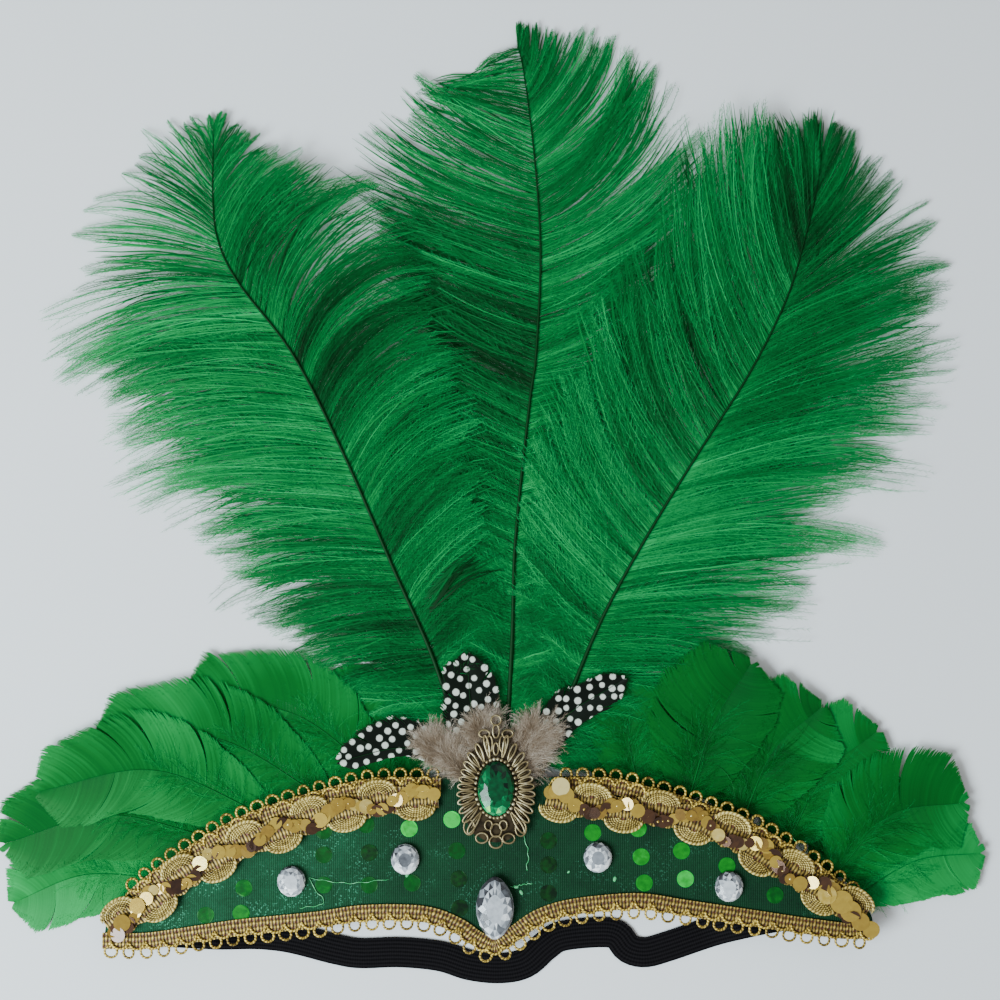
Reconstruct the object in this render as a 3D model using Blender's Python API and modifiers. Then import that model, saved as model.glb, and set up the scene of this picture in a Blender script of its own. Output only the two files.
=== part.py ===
"""A feather headdress lying flat: a crescent band with gold braids, stones and a pierced pendant,
three ostrich plumes, goose feathers fanned to both sides, spotted feathers and an elastic strap.

X runs along the band, Y towards the plume tips, Z up. The floor is at Z = 0. Shapes are worked
out about the middle of the band, and the parent empty then centres the whole on the origin.
"""
import math

import bpy
import bmesh
import numpy as np

# Driving sizes, in metres
GAP = 0.0003
PANEL_HALF = 0.154
PANEL_ARCH = 0.052
PANEL_THICK = 0.002
PANEL_BACK = 0.0054
BRAID_WIDTH = 0.0064
BRAID_THICK = 0.001
LOOP_REACH = 0.0037
LOOP_WIDTH = 0.0052
UPPER_LOOP_PITCH = 0.0066
LOWER_LOOP_PITCH = 0.0070
GIMP_HALF = 0.0085
GIMP_WAVE = 0.0028
GIMP_PITCH = 0.025
GIMP_THICK = 0.0012
STRAP_WIDTH = 0.012
STRAP_THICK = 0.001
PENDANT_HALF = 0.0165
PENDANT_LENGTH = 0.051
PENDANT_THICK = 0.0012
PENDANT_RELIEF = 0.0007
PENDANT_RING = 0.0026
PENDANT_WIRE = 0.0013
SLOT_HALF = 0.0006
LEAF_HALF = 0.0008
STONE_LENGTH = 0.0216
STONE_WIDTH = 0.0144
STONE_HEIGHT = 0.0036
BEZEL_WIDTH = 0.0009
RHINESTONE = 0.0115
RHINESTONE_HEIGHT = 0.0034
NAVETTE_LENGTH = 0.025
NAVETTE_WIDTH = 0.015
NAVETTE_HEIGHT = 0.0042
QUILL_RADIUS = 0.00175
QUILL_TIP_RADIUS = 0.0008
PLUME_THICK = 0.0009
PLUME_RISE = 0.007
LEFT_PLUME = 0.314
CENTRE_PLUME = 0.323
RIGHT_PLUME = 0.312
LEFT_REACH = 0.088
CENTRE_REACH = 0.076
RIGHT_REACH = 0.094
GOOSE_THICK = 0.0007
GOOSE_HALF = 0.021
GUINEA_THICK = 0.0006
GUINEA_HALF = 0.0125
DOWN_HALF = 0.010

# Heights worked out from the driving sizes
PANEL_FRONT = PANEL_BACK + PANEL_THICK
BRAID_BACK = PANEL_FRONT + GAP
BRAID_FRONT = BRAID_BACK + BRAID_THICK
GIMP_BACK = BRAID_FRONT + GAP
GUINEA_HEIGHT = BRAID_BACK + GUINEA_THICK / 2
DOWN_HEIGHT = GUINEA_HEIGHT + GUINEA_THICK + GAP
PENDANT_BACK = max(DOWN_HEIGHT + GUINEA_THICK / 2, BRAID_FRONT) + GAP
QUILL_HEIGHT = PANEL_BACK - GAP - QUILL_RADIUS
LAYER_STEP = GOOSE_THICK + 1.5 * GAP
MARGIN_LOW = PLUME_THICK
MARGIN_HIGH = QUILL_HEIGHT + QUILL_RADIUS + 3 * PLUME_THICK

# Band edges: X as a share of PANEL_HALF, Y as a share of PANEL_ARCH
UPPER_EDGE = (
    (-1.008, -0.08), (-0.956, 0.115), (-0.878, 0.308), (-0.774, 0.515), (-0.670, 0.692), (-0.566, 0.808),
    (-0.462, 0.900), (-0.358, 0.977), (-0.255, 1.000), (0.000, 0.990), (0.265, 1.000), (0.395, 0.923),
    (0.525, 0.808), (0.655, 0.654), (0.784, 0.423), (0.888, 0.192), (0.953, 0.000), (0.971, -0.154),
)
LOWER_EDGE = (
    (-1.019, -0.308), (-0.903, -0.308), (-0.773, -0.254), (-0.669, -0.208), (-0.565, -0.177),
    (-0.461, -0.146), (-0.357, -0.100), (-0.253, -0.092), (-0.175, -0.115), (-0.110, -0.192),
    (-0.060, -0.292), (-0.006, -0.346), (0.050, -0.250), (0.109, -0.131), (0.175, -0.062), (0.265, -0.023),
    (0.369, -0.008), (0.473, -0.054), (0.577, -0.100), (0.681, -0.146), (0.784, -0.192), (0.888, -0.231),
    (0.953, -0.231),
)
# Stretches of the upper edge that carry a looped braid, as shares of PANEL_HALF
UPPER_BRAIDS = {"upper_braid_left": (-0.955, -0.145), "upper_braid_right": (0.145, 0.925)}
# Middle line of the wavy gimp braid, in the same shares
GIMP_LEFT = (
    (-1.000, -0.160), (-0.904, 0.038), (-0.774, 0.308), (-0.644, 0.500), (-0.514, 0.654), (-0.384, 0.769),
    (-0.254, 0.835), (-0.155, 0.865),
)
GIMP_RIGHT = (
    (0.125, 0.855), (0.278, 0.769), (0.452, 0.715), (0.616, 0.538), (0.719, 0.346), (0.784, 0.231),
    (0.888, 0.038), (0.940, -0.070),
)
# Middle line of the elastic strap, in the same shares, sewn behind the band at both ends
STRAP_ROUTE = (
    (-0.847, -0.192), (-0.748, -0.208), (-0.566, -0.238), (-0.423, -0.338), (-0.358, -0.369),
    (-0.255, -0.362), (-0.151, -0.392), (-0.073, -0.462), (0.005, -0.485), (0.070, -0.446),
    (0.122, -0.315), (0.166, -0.238), (0.265, -0.208), (0.309, -0.231), (0.338, -0.331), (0.382, -0.362),
    (0.442, -0.315), (0.525, -0.231), (0.629, -0.131), (0.758, -0.054),
)
STRAP_SEWN_SHARE = 0.07

# Quill routes: X and Y from the quill's foot, as shares of the plume's length
QUILL_FEET = {"left": (-0.034, 0.538), "centre": (0.013, 0.538), "right": (0.062, 0.538)}
LEFT_QUILL = (
    (0, 0), (-0.019, 0.070), (-0.061, 0.213), (-0.115, 0.338), (-0.178, 0.484), (-0.242, 0.610),
    (-0.310, 0.699), (-0.337, 0.752), (-0.345, 0.806), (-0.345, 0.922),
)
CENTRE_QUILL = (
    (0, 0), (0.002, 0.068), (0.011, 0.241), (0.015, 0.365), (0.033, 0.539), (0.040, 0.588),
    (0.046, 0.712), (0.040, 0.824), (0.024, 0.947), (0.006, 0.978),
)
RIGHT_QUILL = (
    (0, 0), (0.025, 0.083), (0.061, 0.180), (0.104, 0.283), (0.160, 0.386), (0.224, 0.490),
    (0.288, 0.590), (0.336, 0.686), (0.360, 0.763), (0.375, 0.840), (0.383, 0.910),
)
# Plume rows: share along the shaft, quill rise over its foot as a share of PLUME_RISE, then for the
# left and the right side the reach as a share of the plume's reach, the heading off the shaft and
# the bend
LEFT_ROWS = (
    (0.27, 0.04, 0.55, 70, 12, 0.38, 60, 25),
    (0.345, 0.31, 0.68, 65, 15, 0.49, 55, 30),
    (0.44, 0.60, 0.82, 60, 20, 0.52, 50, 45),
    (0.515, 0.74, 0.93, 55, 25, 0.56, 48, 50),
    (0.655, 0.80, 0.98, 52, 28, 0.68, 45, 58),
    (0.715, 0.74, 0.96, 52, 28, 0.78, 45, 58),
    (0.77, 0.63, 0.84, 52, 25, 0.68, 45, 55),
    (0.826, 0.46, 0.65, 50, 20, 0.52, 43, 42),
    (0.884, 0.21, 0.43, 42, 15, 0.36, 37, 25),
    (0.938, -0.03, 0.27, 28, 6, 0.23, 27, 8),
    (1.0, -0.26, 0.15, 12, 0, 0.15, 12, 0),
)
CENTRE_ROWS = (
    (0.26, 0.01, 0.27, 68, 5, 0.24, 68, 5),
    (0.365, 0.09, 0.45, 69, 5, 0.42, 68, 5),
    (0.446, 0.13, 0.58, 69, 0, 0.58, 64, 0),
    (0.54, 0.17, 0.74, 69, 0, 0.74, 59, -5),
    (0.71, 0.17, 0.87, 67, 5, 0.97, 52, -8),
    (0.82, 0.11, 0.87, 58, 8, 0.92, 49, -5),
    (0.885, 0.03, 0.62, 49, 14, 0.60, 38, 0),
    (0.95, -0.09, 0.36, 40, 18, 0.34, 28, 8),
    (1.0, -0.17, 0.17, 18, 10, 0.18, 14, -4),
)
RIGHT_ROWS = (
    (0.27, 0.04, 0.30, 78, 0, 0.62, 64, 8),
    (0.317, 0.23, 0.44, 79, -8, 0.84, 54, 8),
    (0.413, 0.60, 0.66, 77, -12, 0.93, 46, 8),
    (0.548, 0.91, 0.82, 69, -18, 1.00, 39, 8),
    (0.663, 0.97, 0.93, 58, -20, 0.92, 36, 5),
    (0.77, 0.89, 0.84, 49, -18, 0.77, 36, 4),
    (0.82, 0.74, 0.66, 43, -14, 0.60, 36, 4),
    (0.928, 0.26, 0.28, 30, -4, 0.32, 29, 0),
    (1.0, -0.06, 0.15, 12, 0, 0.15, 12, 0),
)
QUILL_STRAIGHT = 0.22
MARGIN_TURN = 0.8
MARGIN_CURVE = 1.6
FUSED_SHARE = 0.68
LOCKS = 11
LOCK_FILL = 0.80
# Where a vane has its columns, as shares of each barb
PLUME_COLUMNS = (0, 0.34, FUSED_SHARE, 1)
LEAF_COLUMNS = (0, 0.5, 1)

# Goose feathers: foot and tip X as shares of PANEL_HALF and Y of PANEL_ARCH, bow of the shaft to
# the left as a share of its length, half widths to the left and right as shares of GOOSE_HALF,
# and how many layers it lies under the band
GOOSE_LEFT = (
    (-0.205, 0.885, -0.410, 1.850, 0.03, 0.80, 0.55, 3),
    (-0.275, 0.885, -0.815, 1.640, -0.12, 0.95, 1.00, 2),
    (-0.436, 0.800, -1.045, 1.330, -0.12, 0.95, 0.98, 1),
    (-0.588, 0.680, -1.205, 0.900, -0.14, 0.95, 0.95, 0),
    (-0.715, 0.500, -1.300, 0.480, -0.12, 0.90, 0.90, 2),
    (-0.868, 0.210, -1.270, 0.020, -0.10, 0.85, 0.80, 3),
)
GOOSE_RIGHT = (
    (0.365, 0.880, 0.345, 1.760, 0.06, 0.72, 0.95, 1),
    (0.495, 0.850, 0.660, 1.900, 0.06, 1.10, 1.00, 0),
    (0.640, 0.720, 0.845, 1.560, 0.10, 1.00, 1.00, 1),
    (0.755, 0.510, 0.990, 1.370, 0.10, 0.85, 0.85, 2),
    (0.875, 0.255, 1.220, 0.820, 0.16, 0.95, 0.85, 1),
    (0.925, 0.075, 1.262, 0.420, 0.10, 0.70, 0.80, 2),
)
# Spotted feathers and down: foot, tip, bow, half widths as shares of their own half width
GUINEA = {
    "guinea_left": (-0.042, 0.970, -0.420, 1.130, -0.15, 0.40, 0.85, 0),
    "guinea_centre": (-0.004, 0.880, -0.084, 1.960, 0.05, 1.00, 1.00, 0),
    "guinea_right": (0.048, 0.900, 0.335, 1.780, 0.10, 0.85, 0.85, 0),
}
DOWN = {
    "down_left": (-0.072, 1.000, -0.235, 1.330, -0.08, 0.55, 0.70, 0),
    "down_top": (-0.022, 0.960, -0.052, 1.560, 0.00, 0.62, 0.80, 0),
    "down_right": (0.036, 0.960, 0.135, 1.500, 0.06, 0.72, 0.85, 0),
}
# Round stones on the band: X and Y in the band's shares
RHINESTONES = ((-0.532, 0.208), (-0.239, 0.377), (0.257, 0.392), (0.595, 0.169))
NAVETTE_PLACE = (-0.008, 0.010)
STONE_PLACE = (-0.005, 0.923)

# Leaf outline: share along the shaft, then the margin's share of the length and of the half width
LEAF = (
    (0.00, 0.00, 0.06), (0.09, 0.10, 0.10), (0.26, 0.38, 0.80), (0.50, 0.66, 1.00), (0.80, 0.91, 0.76),
    (1.00, 1.00, 0.06),
)
LEAF_SHAFT = 0.96

# Pendant outline: height over the stone's centre as a share of PENDANT_LENGTH, half width as a share
PENDANT_OUTLINE = (
    (0.485, 0.24), (0.470, 0.40), (0.415, 0.46), (0.350, 0.60), (0.275, 0.76), (0.200, 0.84), (0.100, 0.93),
    (0.000, 0.99), (-0.080, 1.00), (-0.160, 0.96), (-0.240, 0.90), (-0.330, 0.78), (-0.400, 0.68),
    (-0.440, 0.48), (-0.475, 0.28), (-0.490, 0.00),
)
PENDANT_TOP = 0.485
# How far the ring's middle stands over the pendant's top, as a share of the ring's radius
RING_SEAT = 0.8
# Flat top of a raised leaf, as a share of its foot
LEAF_RIDGE = 0.35
# Rays between the pendant's leaves, in degrees over the level of the stone's centre
PENDANT_SLOTS = (62, 44, 28, 14, 0, -14, -28, -44, -62)
# Cut of a stone from its flat back to its table: height and width as shares of its own
STONE_CUT = ((0.0, 0.90), (0.22, 1.0), (0.38, 0.985), (0.80, 0.74), (1.0, 0.72))
STONE_SIDES = 16
RHINESTONE_SIDES = 10
NAVETTE_SIDES = 14
NAVETTE_POINT = 1.25
# One open loop of the looped braid: the arch, and the eye inside it
ARCH = ((-0.50, 0.0), (-0.42, 0.66), (0.0, 1.0), (0.42, 0.66), (0.50, 0.0))
EYE = ((-0.27, 0.18), (-0.22, 0.62), (0.22, 0.62), (0.27, 0.18))
# The spotted feathers start to droop at this share of PANEL_HALF from the band's top, and end so
DROOP_SHARES = (0.11, 0.18)

# Points along each kind of curve
SMOOTH_STEPS = 16
FINE_POINTS = 200
PANEL_POINTS = 30
GIMP_POINTS = 43
STRAP_POINTS = 38
QUILL_POINTS = 15
PENDANT_POINTS = 20
LEAF_POINTS = 60
RING_POINTS = 10
RING_HOLE_POINTS = 6
COLOURS = {
    "panel": ((0.012, 0.072, 0.032), 0.85, 0.0),
    "gold": ((0.42, 0.27, 0.085), 0.42, 0.75),
    "sequin": ((0.48, 0.30, 0.08), 0.3, 0.85),
    "brass": ((0.16, 0.105, 0.055), 0.45, 0.9),
    "emerald": ((0.0, 0.19, 0.08), 0.05, 0.0),
    "crystal": ((0.75, 0.78, 0.80), 0.04, 0.0),
    "elastic": ((0.008, 0.007, 0.008), 0.8, 0.0),
    "plume": ((0.006, 0.17, 0.045), 0.75, 0.0),
    "goose": ((0.004, 0.14, 0.035), 0.6, 0.0),
    "guinea": ((0.02, 0.02, 0.018), 0.6, 0.0),
    "down": ((0.32, 0.26, 0.20), 0.9, 0.0),
}


def clear_scene():
    for item in list(bpy.data.objects):
        bpy.data.objects.remove(item, do_unlink=True)


def make_collection(name):
    made = bpy.data.collections.new(name)
    bpy.context.scene.collection.children.link(made)
    return made


def make_material(name):
    colour, roughness, metallic = COLOURS[name]
    made = bpy.data.materials.get(name) or bpy.data.materials.new(name)
    made.use_nodes = True
    shader = made.node_tree.nodes["Principled BSDF"]
    shader.inputs["Base Color"].default_value = (*colour, 1)
    shader.inputs["Roughness"].default_value = roughness
    shader.inputs["Metallic"].default_value = metallic
    return made


def add_object(name, data, material=None):
    made = bpy.data.objects.new(name, data)
    PARTS.objects.link(made)
    made.parent = ASSEMBLY
    if material:
        data.materials.append(make_material(material))
    return made


def add_bmesh(name, shape, material=None):
    data = bpy.data.meshes.new(name)
    shape.to_mesh(data)
    shape.free()
    data.shade_smooth()
    data.set_sharp_from_angle(angle=math.radians(35))
    return add_object(name, data, material)


def make_helper(item):
    """Moves an object to the cutters, where the render and the build leave it out."""
    PARTS.objects.unlink(item)
    HELPERS.objects.link(item)
    item.hide_render = True
    item.display_type = "WIRE"


def as_mesh(item):
    """The curve made a mesh with its caps welded. The curve is removed."""
    graph = bpy.context.evaluated_depsgraph_get()
    data = bpy.data.meshes.new_from_object(item.evaluated_get(graph))
    welded = bmesh.new()
    welded.from_mesh(data)
    bmesh.ops.remove_doubles(welded, verts=welded.verts, dist=0.000002)
    bmesh.ops.recalc_face_normals(welded, faces=welded.faces)
    welded.to_mesh(data)
    welded.free()
    name = item.name
    place = item.matrix_world.copy()
    bpy.data.objects.remove(item, do_unlink=True)
    made = add_object(name, data)
    made.matrix_world = place
    return made


def unite(item, other):
    joined = item.modifiers.new("joined", "BOOLEAN")
    joined.operation = "UNION"
    joined.object = other
    make_helper(other)


def smooth(points, count):
    """Points at even steps along the smooth curve through the given ones."""
    knots = np.array(points, float)
    ends = np.vstack([2 * knots[0] - knots[1], knots, 2 * knots[-1] - knots[-2]])
    step = np.linspace(0, 1, SMOOTH_STEPS, endpoint=False)[:, None]
    pieces = []
    for a, b, c, d in zip(ends, ends[1:], ends[2:], ends[3:]):
        cubic = -a + 3 * b - 3 * c + d
        square = 2 * a - 5 * b + 4 * c - d
        pieces.append(0.5 * (2 * b + (c - a) * step + square * step**2 + cubic * step**3))
    fine = np.vstack(pieces + [knots[-1:]])
    run = np.concatenate([[0], np.cumsum(np.linalg.norm(np.diff(fine, axis=0), axis=1))])
    where = np.linspace(0, run[-1], count)
    return np.column_stack([np.interp(where, run, fine[:, k]) for k in range(fine.shape[1])])


def length_of(points):
    return float(np.linalg.norm(np.diff(points, axis=0), axis=1).sum())


def sideways(points):
    """Unit vectors to the left of a path, point by point."""
    ahead = np.gradient(points, axis=0)
    ahead /= np.linalg.norm(ahead, axis=1)[:, None]
    return np.column_stack([-ahead[:, 1], ahead[:, 0]])


def on_band(shares):
    return np.array(shares, float) * (PANEL_HALF, PANEL_ARCH)


def plate(name, outlines, back, thick, material=None):
    """A flat plate: the first outline is its edge, and the others are holes through it."""
    flat = bpy.data.curves.new(name, "CURVE")
    flat.dimensions = "2D"
    flat.fill_mode = "BOTH"
    flat.extrude = thick / 2
    for outline in outlines:
        line = flat.splines.new("POLY")
        line.points.add(len(outline) - 1)
        for point, (x, y) in zip(line.points, outline):
            point.co = (x, y, 0, 1)
        line.use_cyclic_u = True
    made = add_object(name, flat, material)
    made.location.z = back + thick / 2
    bpy.context.view_layer.update()
    return made


def build_panel():
    upper = smooth(on_band(UPPER_EDGE), PANEL_POINTS)
    lower = smooth(on_band(LOWER_EDGE), PANEL_POINTS)
    plate("headband_panel", [np.vstack([upper, lower[::-1]])], PANEL_BACK, PANEL_THICK, "panel")


def looped_braid(name, edge, pitch):
    """A woven band inside the edge with a row of open loops outside it. The edge runs so that the
    outside is on its left."""
    count = round(length_of(edge) / pitch)
    path = smooth(edge, 2 * count + 1)
    normal = sideways(path)
    ahead = np.column_stack([normal[:, 1], -normal[:, 0]])
    outer = [path[0]]
    holes = []
    for centre in range(1, len(path), 2):
        axes = np.array([LOOP_WIDTH * ahead[centre], LOOP_REACH * normal[centre]])
        outer += list(path[centre] + np.array(ARCH) @ axes)
        holes.append(path[centre] + np.array(EYE) @ axes)
    outer.append(path[-1])
    inner = (path - BRAID_WIDTH * normal)[::4]
    inner = np.vstack([inner, path[-1] - BRAID_WIDTH * normal[-1]])
    plate(name, [np.vstack([outer, inner[::-1]])] + holes, BRAID_BACK, BRAID_THICK, "gold")


def build_looped_braids():
    upper = smooth(on_band(UPPER_EDGE), FINE_POINTS)
    for name, (start, end) in UPPER_BRAIDS.items():
        inside = (upper[:, 0] > start * PANEL_HALF) & (upper[:, 0] < end * PANEL_HALF)
        looped_braid(name, upper[inside], UPPER_LOOP_PITCH)
    lower = smooth(on_band(LOWER_EDGE), FINE_POINTS)
    looped_braid("lower_braid", lower[::-1], LOWER_LOOP_PITCH)


def gimp_braid(name, middle):
    path = smooth(on_band(middle), GIMP_POINTS)
    normal = sideways(path)
    waves = max(1, round(length_of(path) / GIMP_PITCH))
    turn = np.linspace(0, 2 * math.pi * waves, len(path))
    left = path + normal * (GIMP_HALF + GIMP_WAVE * np.cos(turn))[:, None]
    right = path - normal * (GIMP_HALF - GIMP_WAVE * np.cos(turn))[:, None]
    plate(name, [np.vstack([left, right[::-1]])], GIMP_BACK, GIMP_THICK, "sequin")


def strip(name, path, heights, width, thick, material):
    """A flat ribbon along a path in plan, with its middle at the given heights."""
    shape = bmesh.new()
    rows = len(path) - 1
    bmesh.ops.create_grid(shape, x_segments=1, y_segments=rows, size=1)
    normal = sideways(path)
    for vert in shape.verts:
        row = round((vert.co.y + 1) / 2 * rows)
        x, y = path[row] - normal[row] * vert.co.x * width / 2
        vert.co = (x, y, heights[row])
    made = add_bmesh(name, shape, material)
    wall = made.modifiers.new("wall", "SOLIDIFY")
    wall.thickness = thick
    wall.offset = 0
    return made


def build_strap():
    path = smooth(on_band(STRAP_ROUTE), STRAP_POINTS)
    share = np.linspace(0, 1, len(path))
    from_end = np.minimum(share, 1 - share) / STRAP_SEWN_SHARE
    lift = np.clip(2 - from_end, 0, 1)
    lift = lift * lift * (3 - 2 * lift)
    low = STRAP_THICK / 2
    high = PANEL_BACK - GAP - STRAP_THICK / 2
    strip("elastic_strap", path, low + (high - low) * lift, STRAP_WIDTH, STRAP_THICK, "elastic")


def cut_stone(name, length, width, height, sides, place, back, material, point=1.0):
    """A flat-back stone with a girdle, a crown and a table. A point over 1 draws the ends out."""
    shape = bmesh.new()
    made = bmesh.ops.create_circle(shape, cap_ends=True, segments=sides, radius=1)
    for vert in made["verts"]:
        x, y = vert.co.x, vert.co.y
        vert.co.x = math.copysign(abs(x) ** point, x) * width / 2
        vert.co.y = y * length / 2
    wide = STONE_CUT[0][1]
    bmesh.ops.scale(shape, verts=shape.verts, vec=(wide, wide, 1))
    top = shape.faces[:] + shape.edges[:]
    for level, share in STONE_CUT[1:]:
        grown = bmesh.ops.extrude_face_region(shape, geom=top)["geom"]
        verts = [item for item in grown if isinstance(item, bmesh.types.BMVert)]
        top = [item for item in grown if not isinstance(item, bmesh.types.BMVert)]
        bmesh.ops.scale(shape, verts=verts, vec=(share / wide, share / wide, 1))
        for vert in verts:
            vert.co.z = level * height
        wide = share
    bmesh.ops.recalc_face_normals(shape, faces=shape.faces)
    stone = add_bmesh(name, shape, material)
    stone.location = (place[0], place[1], back)
    return stone


def build_stones():
    for number, share in enumerate(RHINESTONES, 1):
        place = on_band(share)
        name = f"rhinestone_{number}"
        cut_stone(name, RHINESTONE, RHINESTONE, RHINESTONE_HEIGHT, RHINESTONE_SIDES, place, BRAID_BACK,
                  "crystal")
    place = on_band(NAVETTE_PLACE)
    back = BRAID_FRONT + GAP
    cut_stone("navette_stone", NAVETTE_LENGTH, NAVETTE_WIDTH, NAVETTE_HEIGHT, NAVETTE_SIDES, place, back,
              "crystal", NAVETTE_POINT)
    back = PENDANT_BACK + PENDANT_THICK + GAP
    place = on_band(STONE_PLACE)
    cut_stone("pendant_stone", STONE_LENGTH, STONE_WIDTH, STONE_HEIGHT, STONE_SIDES, place, back, "emerald")


def ellipse(centre, across, along, sides):
    turn = np.arange(sides) * 2 * math.pi / sides
    return np.column_stack([centre[0] + across * np.cos(turn), centre[1] + along * np.sin(turn)])


def pendant_edge():
    """The pendant's outline, with a ripple for the leaves, and the ring at its top."""
    heights, shares = np.array(PENDANT_OUTLINE).T
    left = smooth(np.column_stack([-shares * PENDANT_HALF, heights * PENDANT_LENGTH]), PENDANT_POINTS)
    right = left[::-1] * (-1, 1)
    middle = PENDANT_TOP * PENDANT_LENGTH + RING_SEAT * PENDANT_RING
    ring = ellipse((0, middle), PENDANT_RING, PENDANT_RING, RING_POINTS)
    neck = left[0, 1]
    ring = ring[ring[:, 1] > neck]
    ring = ring[np.argsort(np.arctan2(ring[:, 1] - neck, ring[:, 0]))]
    return left, np.vstack([left, right[1:], ring])


def pendant_ray(edge, side, degrees):
    """A ray from the stone's centre, with where it leaves the bezel and where it meets the edge."""
    turn = math.radians(degrees)
    ray = np.array([-side * math.cos(turn), math.sin(turn)])
    rim = (STONE_WIDTH / 2 + GAP + BEZEL_WIDTH, STONE_LENGTH / 2 + GAP + BEZEL_WIDTH)
    start = 1 / float(np.linalg.norm(ray / rim))
    angles = np.degrees(np.arctan2(edge[:, 1], -edge[:, 0]))
    end = float(np.linalg.norm(edge[np.argmin(abs(angles - degrees))]))
    return ray, start, end


def pendant_slot(edge, side, degrees):
    """A slim gap between two leaves, as four points around the stone's centre."""
    ray, start, end = pendant_ray(edge, side, degrees)
    cross = np.array([-ray[1], ray[0]]) * SLOT_HALF
    first = ray * (start + SLOT_HALF)
    last = ray * (end - 2 * SLOT_HALF)
    middle = (first + last) / 2
    return np.array([first, middle + cross, last, middle - cross])


def pendant_leaf(shape, edge, side, degrees, centre):
    """A raised leaf along a ray, a flat-topped pyramid from the bezel to the edge."""
    ray, start, end = pendant_ray(edge, side, degrees)
    cross = np.array([-ray[1], ray[0]]) * LEAF_HALF
    half = (end - start - SLOT_HALF) / 2
    base = PENDANT_BACK + PENDANT_THICK / 2
    made = bmesh.ops.create_cone(shape, cap_ends=True, segments=4, radius1=1, radius2=LEAF_RIDGE, depth=1)
    for vert in made["verts"]:
        x, y = centre + ray * (start + SLOT_HALF / 2 + half + vert.co.x * half) + cross * vert.co.y
        z = base + (vert.co.z + 0.5) * (PENDANT_THICK / 2 + PENDANT_RELIEF)
        vert.co = (x, y, z)


def build_pendant():
    centre = on_band(STONE_PLACE)
    left, edge = pendant_edge()
    ring_hole = PENDANT_RING - PENDANT_WIRE
    middle = PENDANT_TOP * PENDANT_LENGTH + PENDANT_RING
    holes = [ellipse((0, middle), ring_hole, ring_hole, RING_HOLE_POINTS)]
    relief = bmesh.new()
    for side in (1, -1):
        for degrees in PENDANT_SLOTS:
            holes.append(pendant_slot(left, side, degrees))
        for low, high in zip(PENDANT_SLOTS[1:], PENDANT_SLOTS):
            pendant_leaf(relief, left, side, (low + high) / 2, centre)
    outlines = [outline + centre for outline in [edge] + holes]
    body = as_mesh(plate("pendant_setting", outlines, PENDANT_BACK, PENDANT_THICK))
    body.data.materials.append(make_material("brass"))
    unite(body, add_bmesh("pendant_leaves", relief))
    across = STONE_WIDTH / 2 + GAP
    along = STONE_LENGTH / 2 + GAP
    rim = [
        ellipse(centre, across + BEZEL_WIDTH, along + BEZEL_WIDTH, PENDANT_POINTS),
        ellipse(centre, across, along, PENDANT_POINTS),
    ]
    base = PENDANT_BACK + PENDANT_THICK / 2
    unite(body, as_mesh(plate("pendant_bezel", rim, base, PENDANT_THICK / 2 + 2 * PENDANT_RELIEF)))


def barb(origin, ahead, side, reach, heading, bend, share):
    """A point along a barb that leaves the shaft at a heading and bends evenly, both in radians."""
    normal = side * np.array([-ahead[1], ahead[0]])
    if abs(bend) < 0.001:
        bend = 0.001
    forward = (math.sin(heading + bend * share) - math.sin(heading)) / bend
    outward = (math.cos(heading) - math.cos(heading + bend * share)) / bend
    return origin + reach * (forward * ahead + outward * normal)


def feather_sheet(name, shaft, rows, columns, locks, margins, thick, material):
    """A vane on both sides of a shaft. Rows hold the share along the shaft, its height, then reach,
    heading and bend for the left and the right side. Locks stay fused near the shaft and end in
    points. Without locks the vane is whole."""
    shape = bmesh.new()
    steps = 2 * locks - 1 if locks else len(rows) - 1
    bmesh.ops.create_grid(shape, x_segments=2 * (len(columns) - 1), y_segments=steps, size=1)
    table = np.array(rows, float)
    tangent = np.gradient(shaft, axis=0)
    tangent /= np.linalg.norm(tangent, axis=1)[:, None]
    along = np.linspace(0, 1, len(shaft))
    grid = {}
    for vert in shape.verts:
        row = round((vert.co.y + 1) / 2 * steps)
        column = round(vert.co.x * (len(columns) - 1))
        grid[row, column] = vert
        if locks:
            place = (row // 2 + LOCK_FILL * (row % 2)) / (locks - 1 + LOCK_FILL)
            share = table[0, 0] + (table[-1, 0] - table[0, 0]) * place
        else:
            share = table[row, 0]
        values = [np.interp(share, table[:, 0], table[:, k]) for k in range(1, table.shape[1])]
        side = 1 if column < 0 else -1
        reach, heading, bend = values[1:4] if side > 0 else values[4:7]
        origin = np.array([np.interp(share, along, shaft[:, k]) for k in (0, 1)])
        ahead = np.array([np.interp(share, along, tangent[:, k]) for k in (0, 1)])
        out = columns[abs(column)]
        x, y = barb(origin, ahead, side, reach, math.radians(heading), math.radians(bend), out)
        margin = np.interp(share, (MARGIN_TURN, 1), margins[side])
        z = values[0] + (margin - values[0]) * out**MARGIN_CURVE
        vert.co = (x, y, z)
    if locks:
        loose = [c for c, out in enumerate(columns) if out >= FUSED_SHARE]
        gone = []
        for face in shape.faces:
            keys = [key for key, vert in grid.items() if vert in face.verts]
            least = min(key[0] for key in keys)
            if least % 2 and min(abs(key[1]) for key in keys) >= loose[0]:
                gone.append(face)
        bmesh.ops.delete(shape, geom=gone, context="FACES")
        last = len(columns) - 1
        for row in range(0, 2 * locks, 2):
            for column in (-last, last):
                ends = [grid[row, column], grid[row + 1, column]]
                bmesh.ops.pointmerge(shape, verts=ends, merge_co=(ends[0].co + ends[1].co) / 2)
    made = add_bmesh(name, shape, material)
    wall = made.modifiers.new("wall", "SOLIDIFY")
    wall.thickness = thick
    wall.offset = 0
    return made


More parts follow.
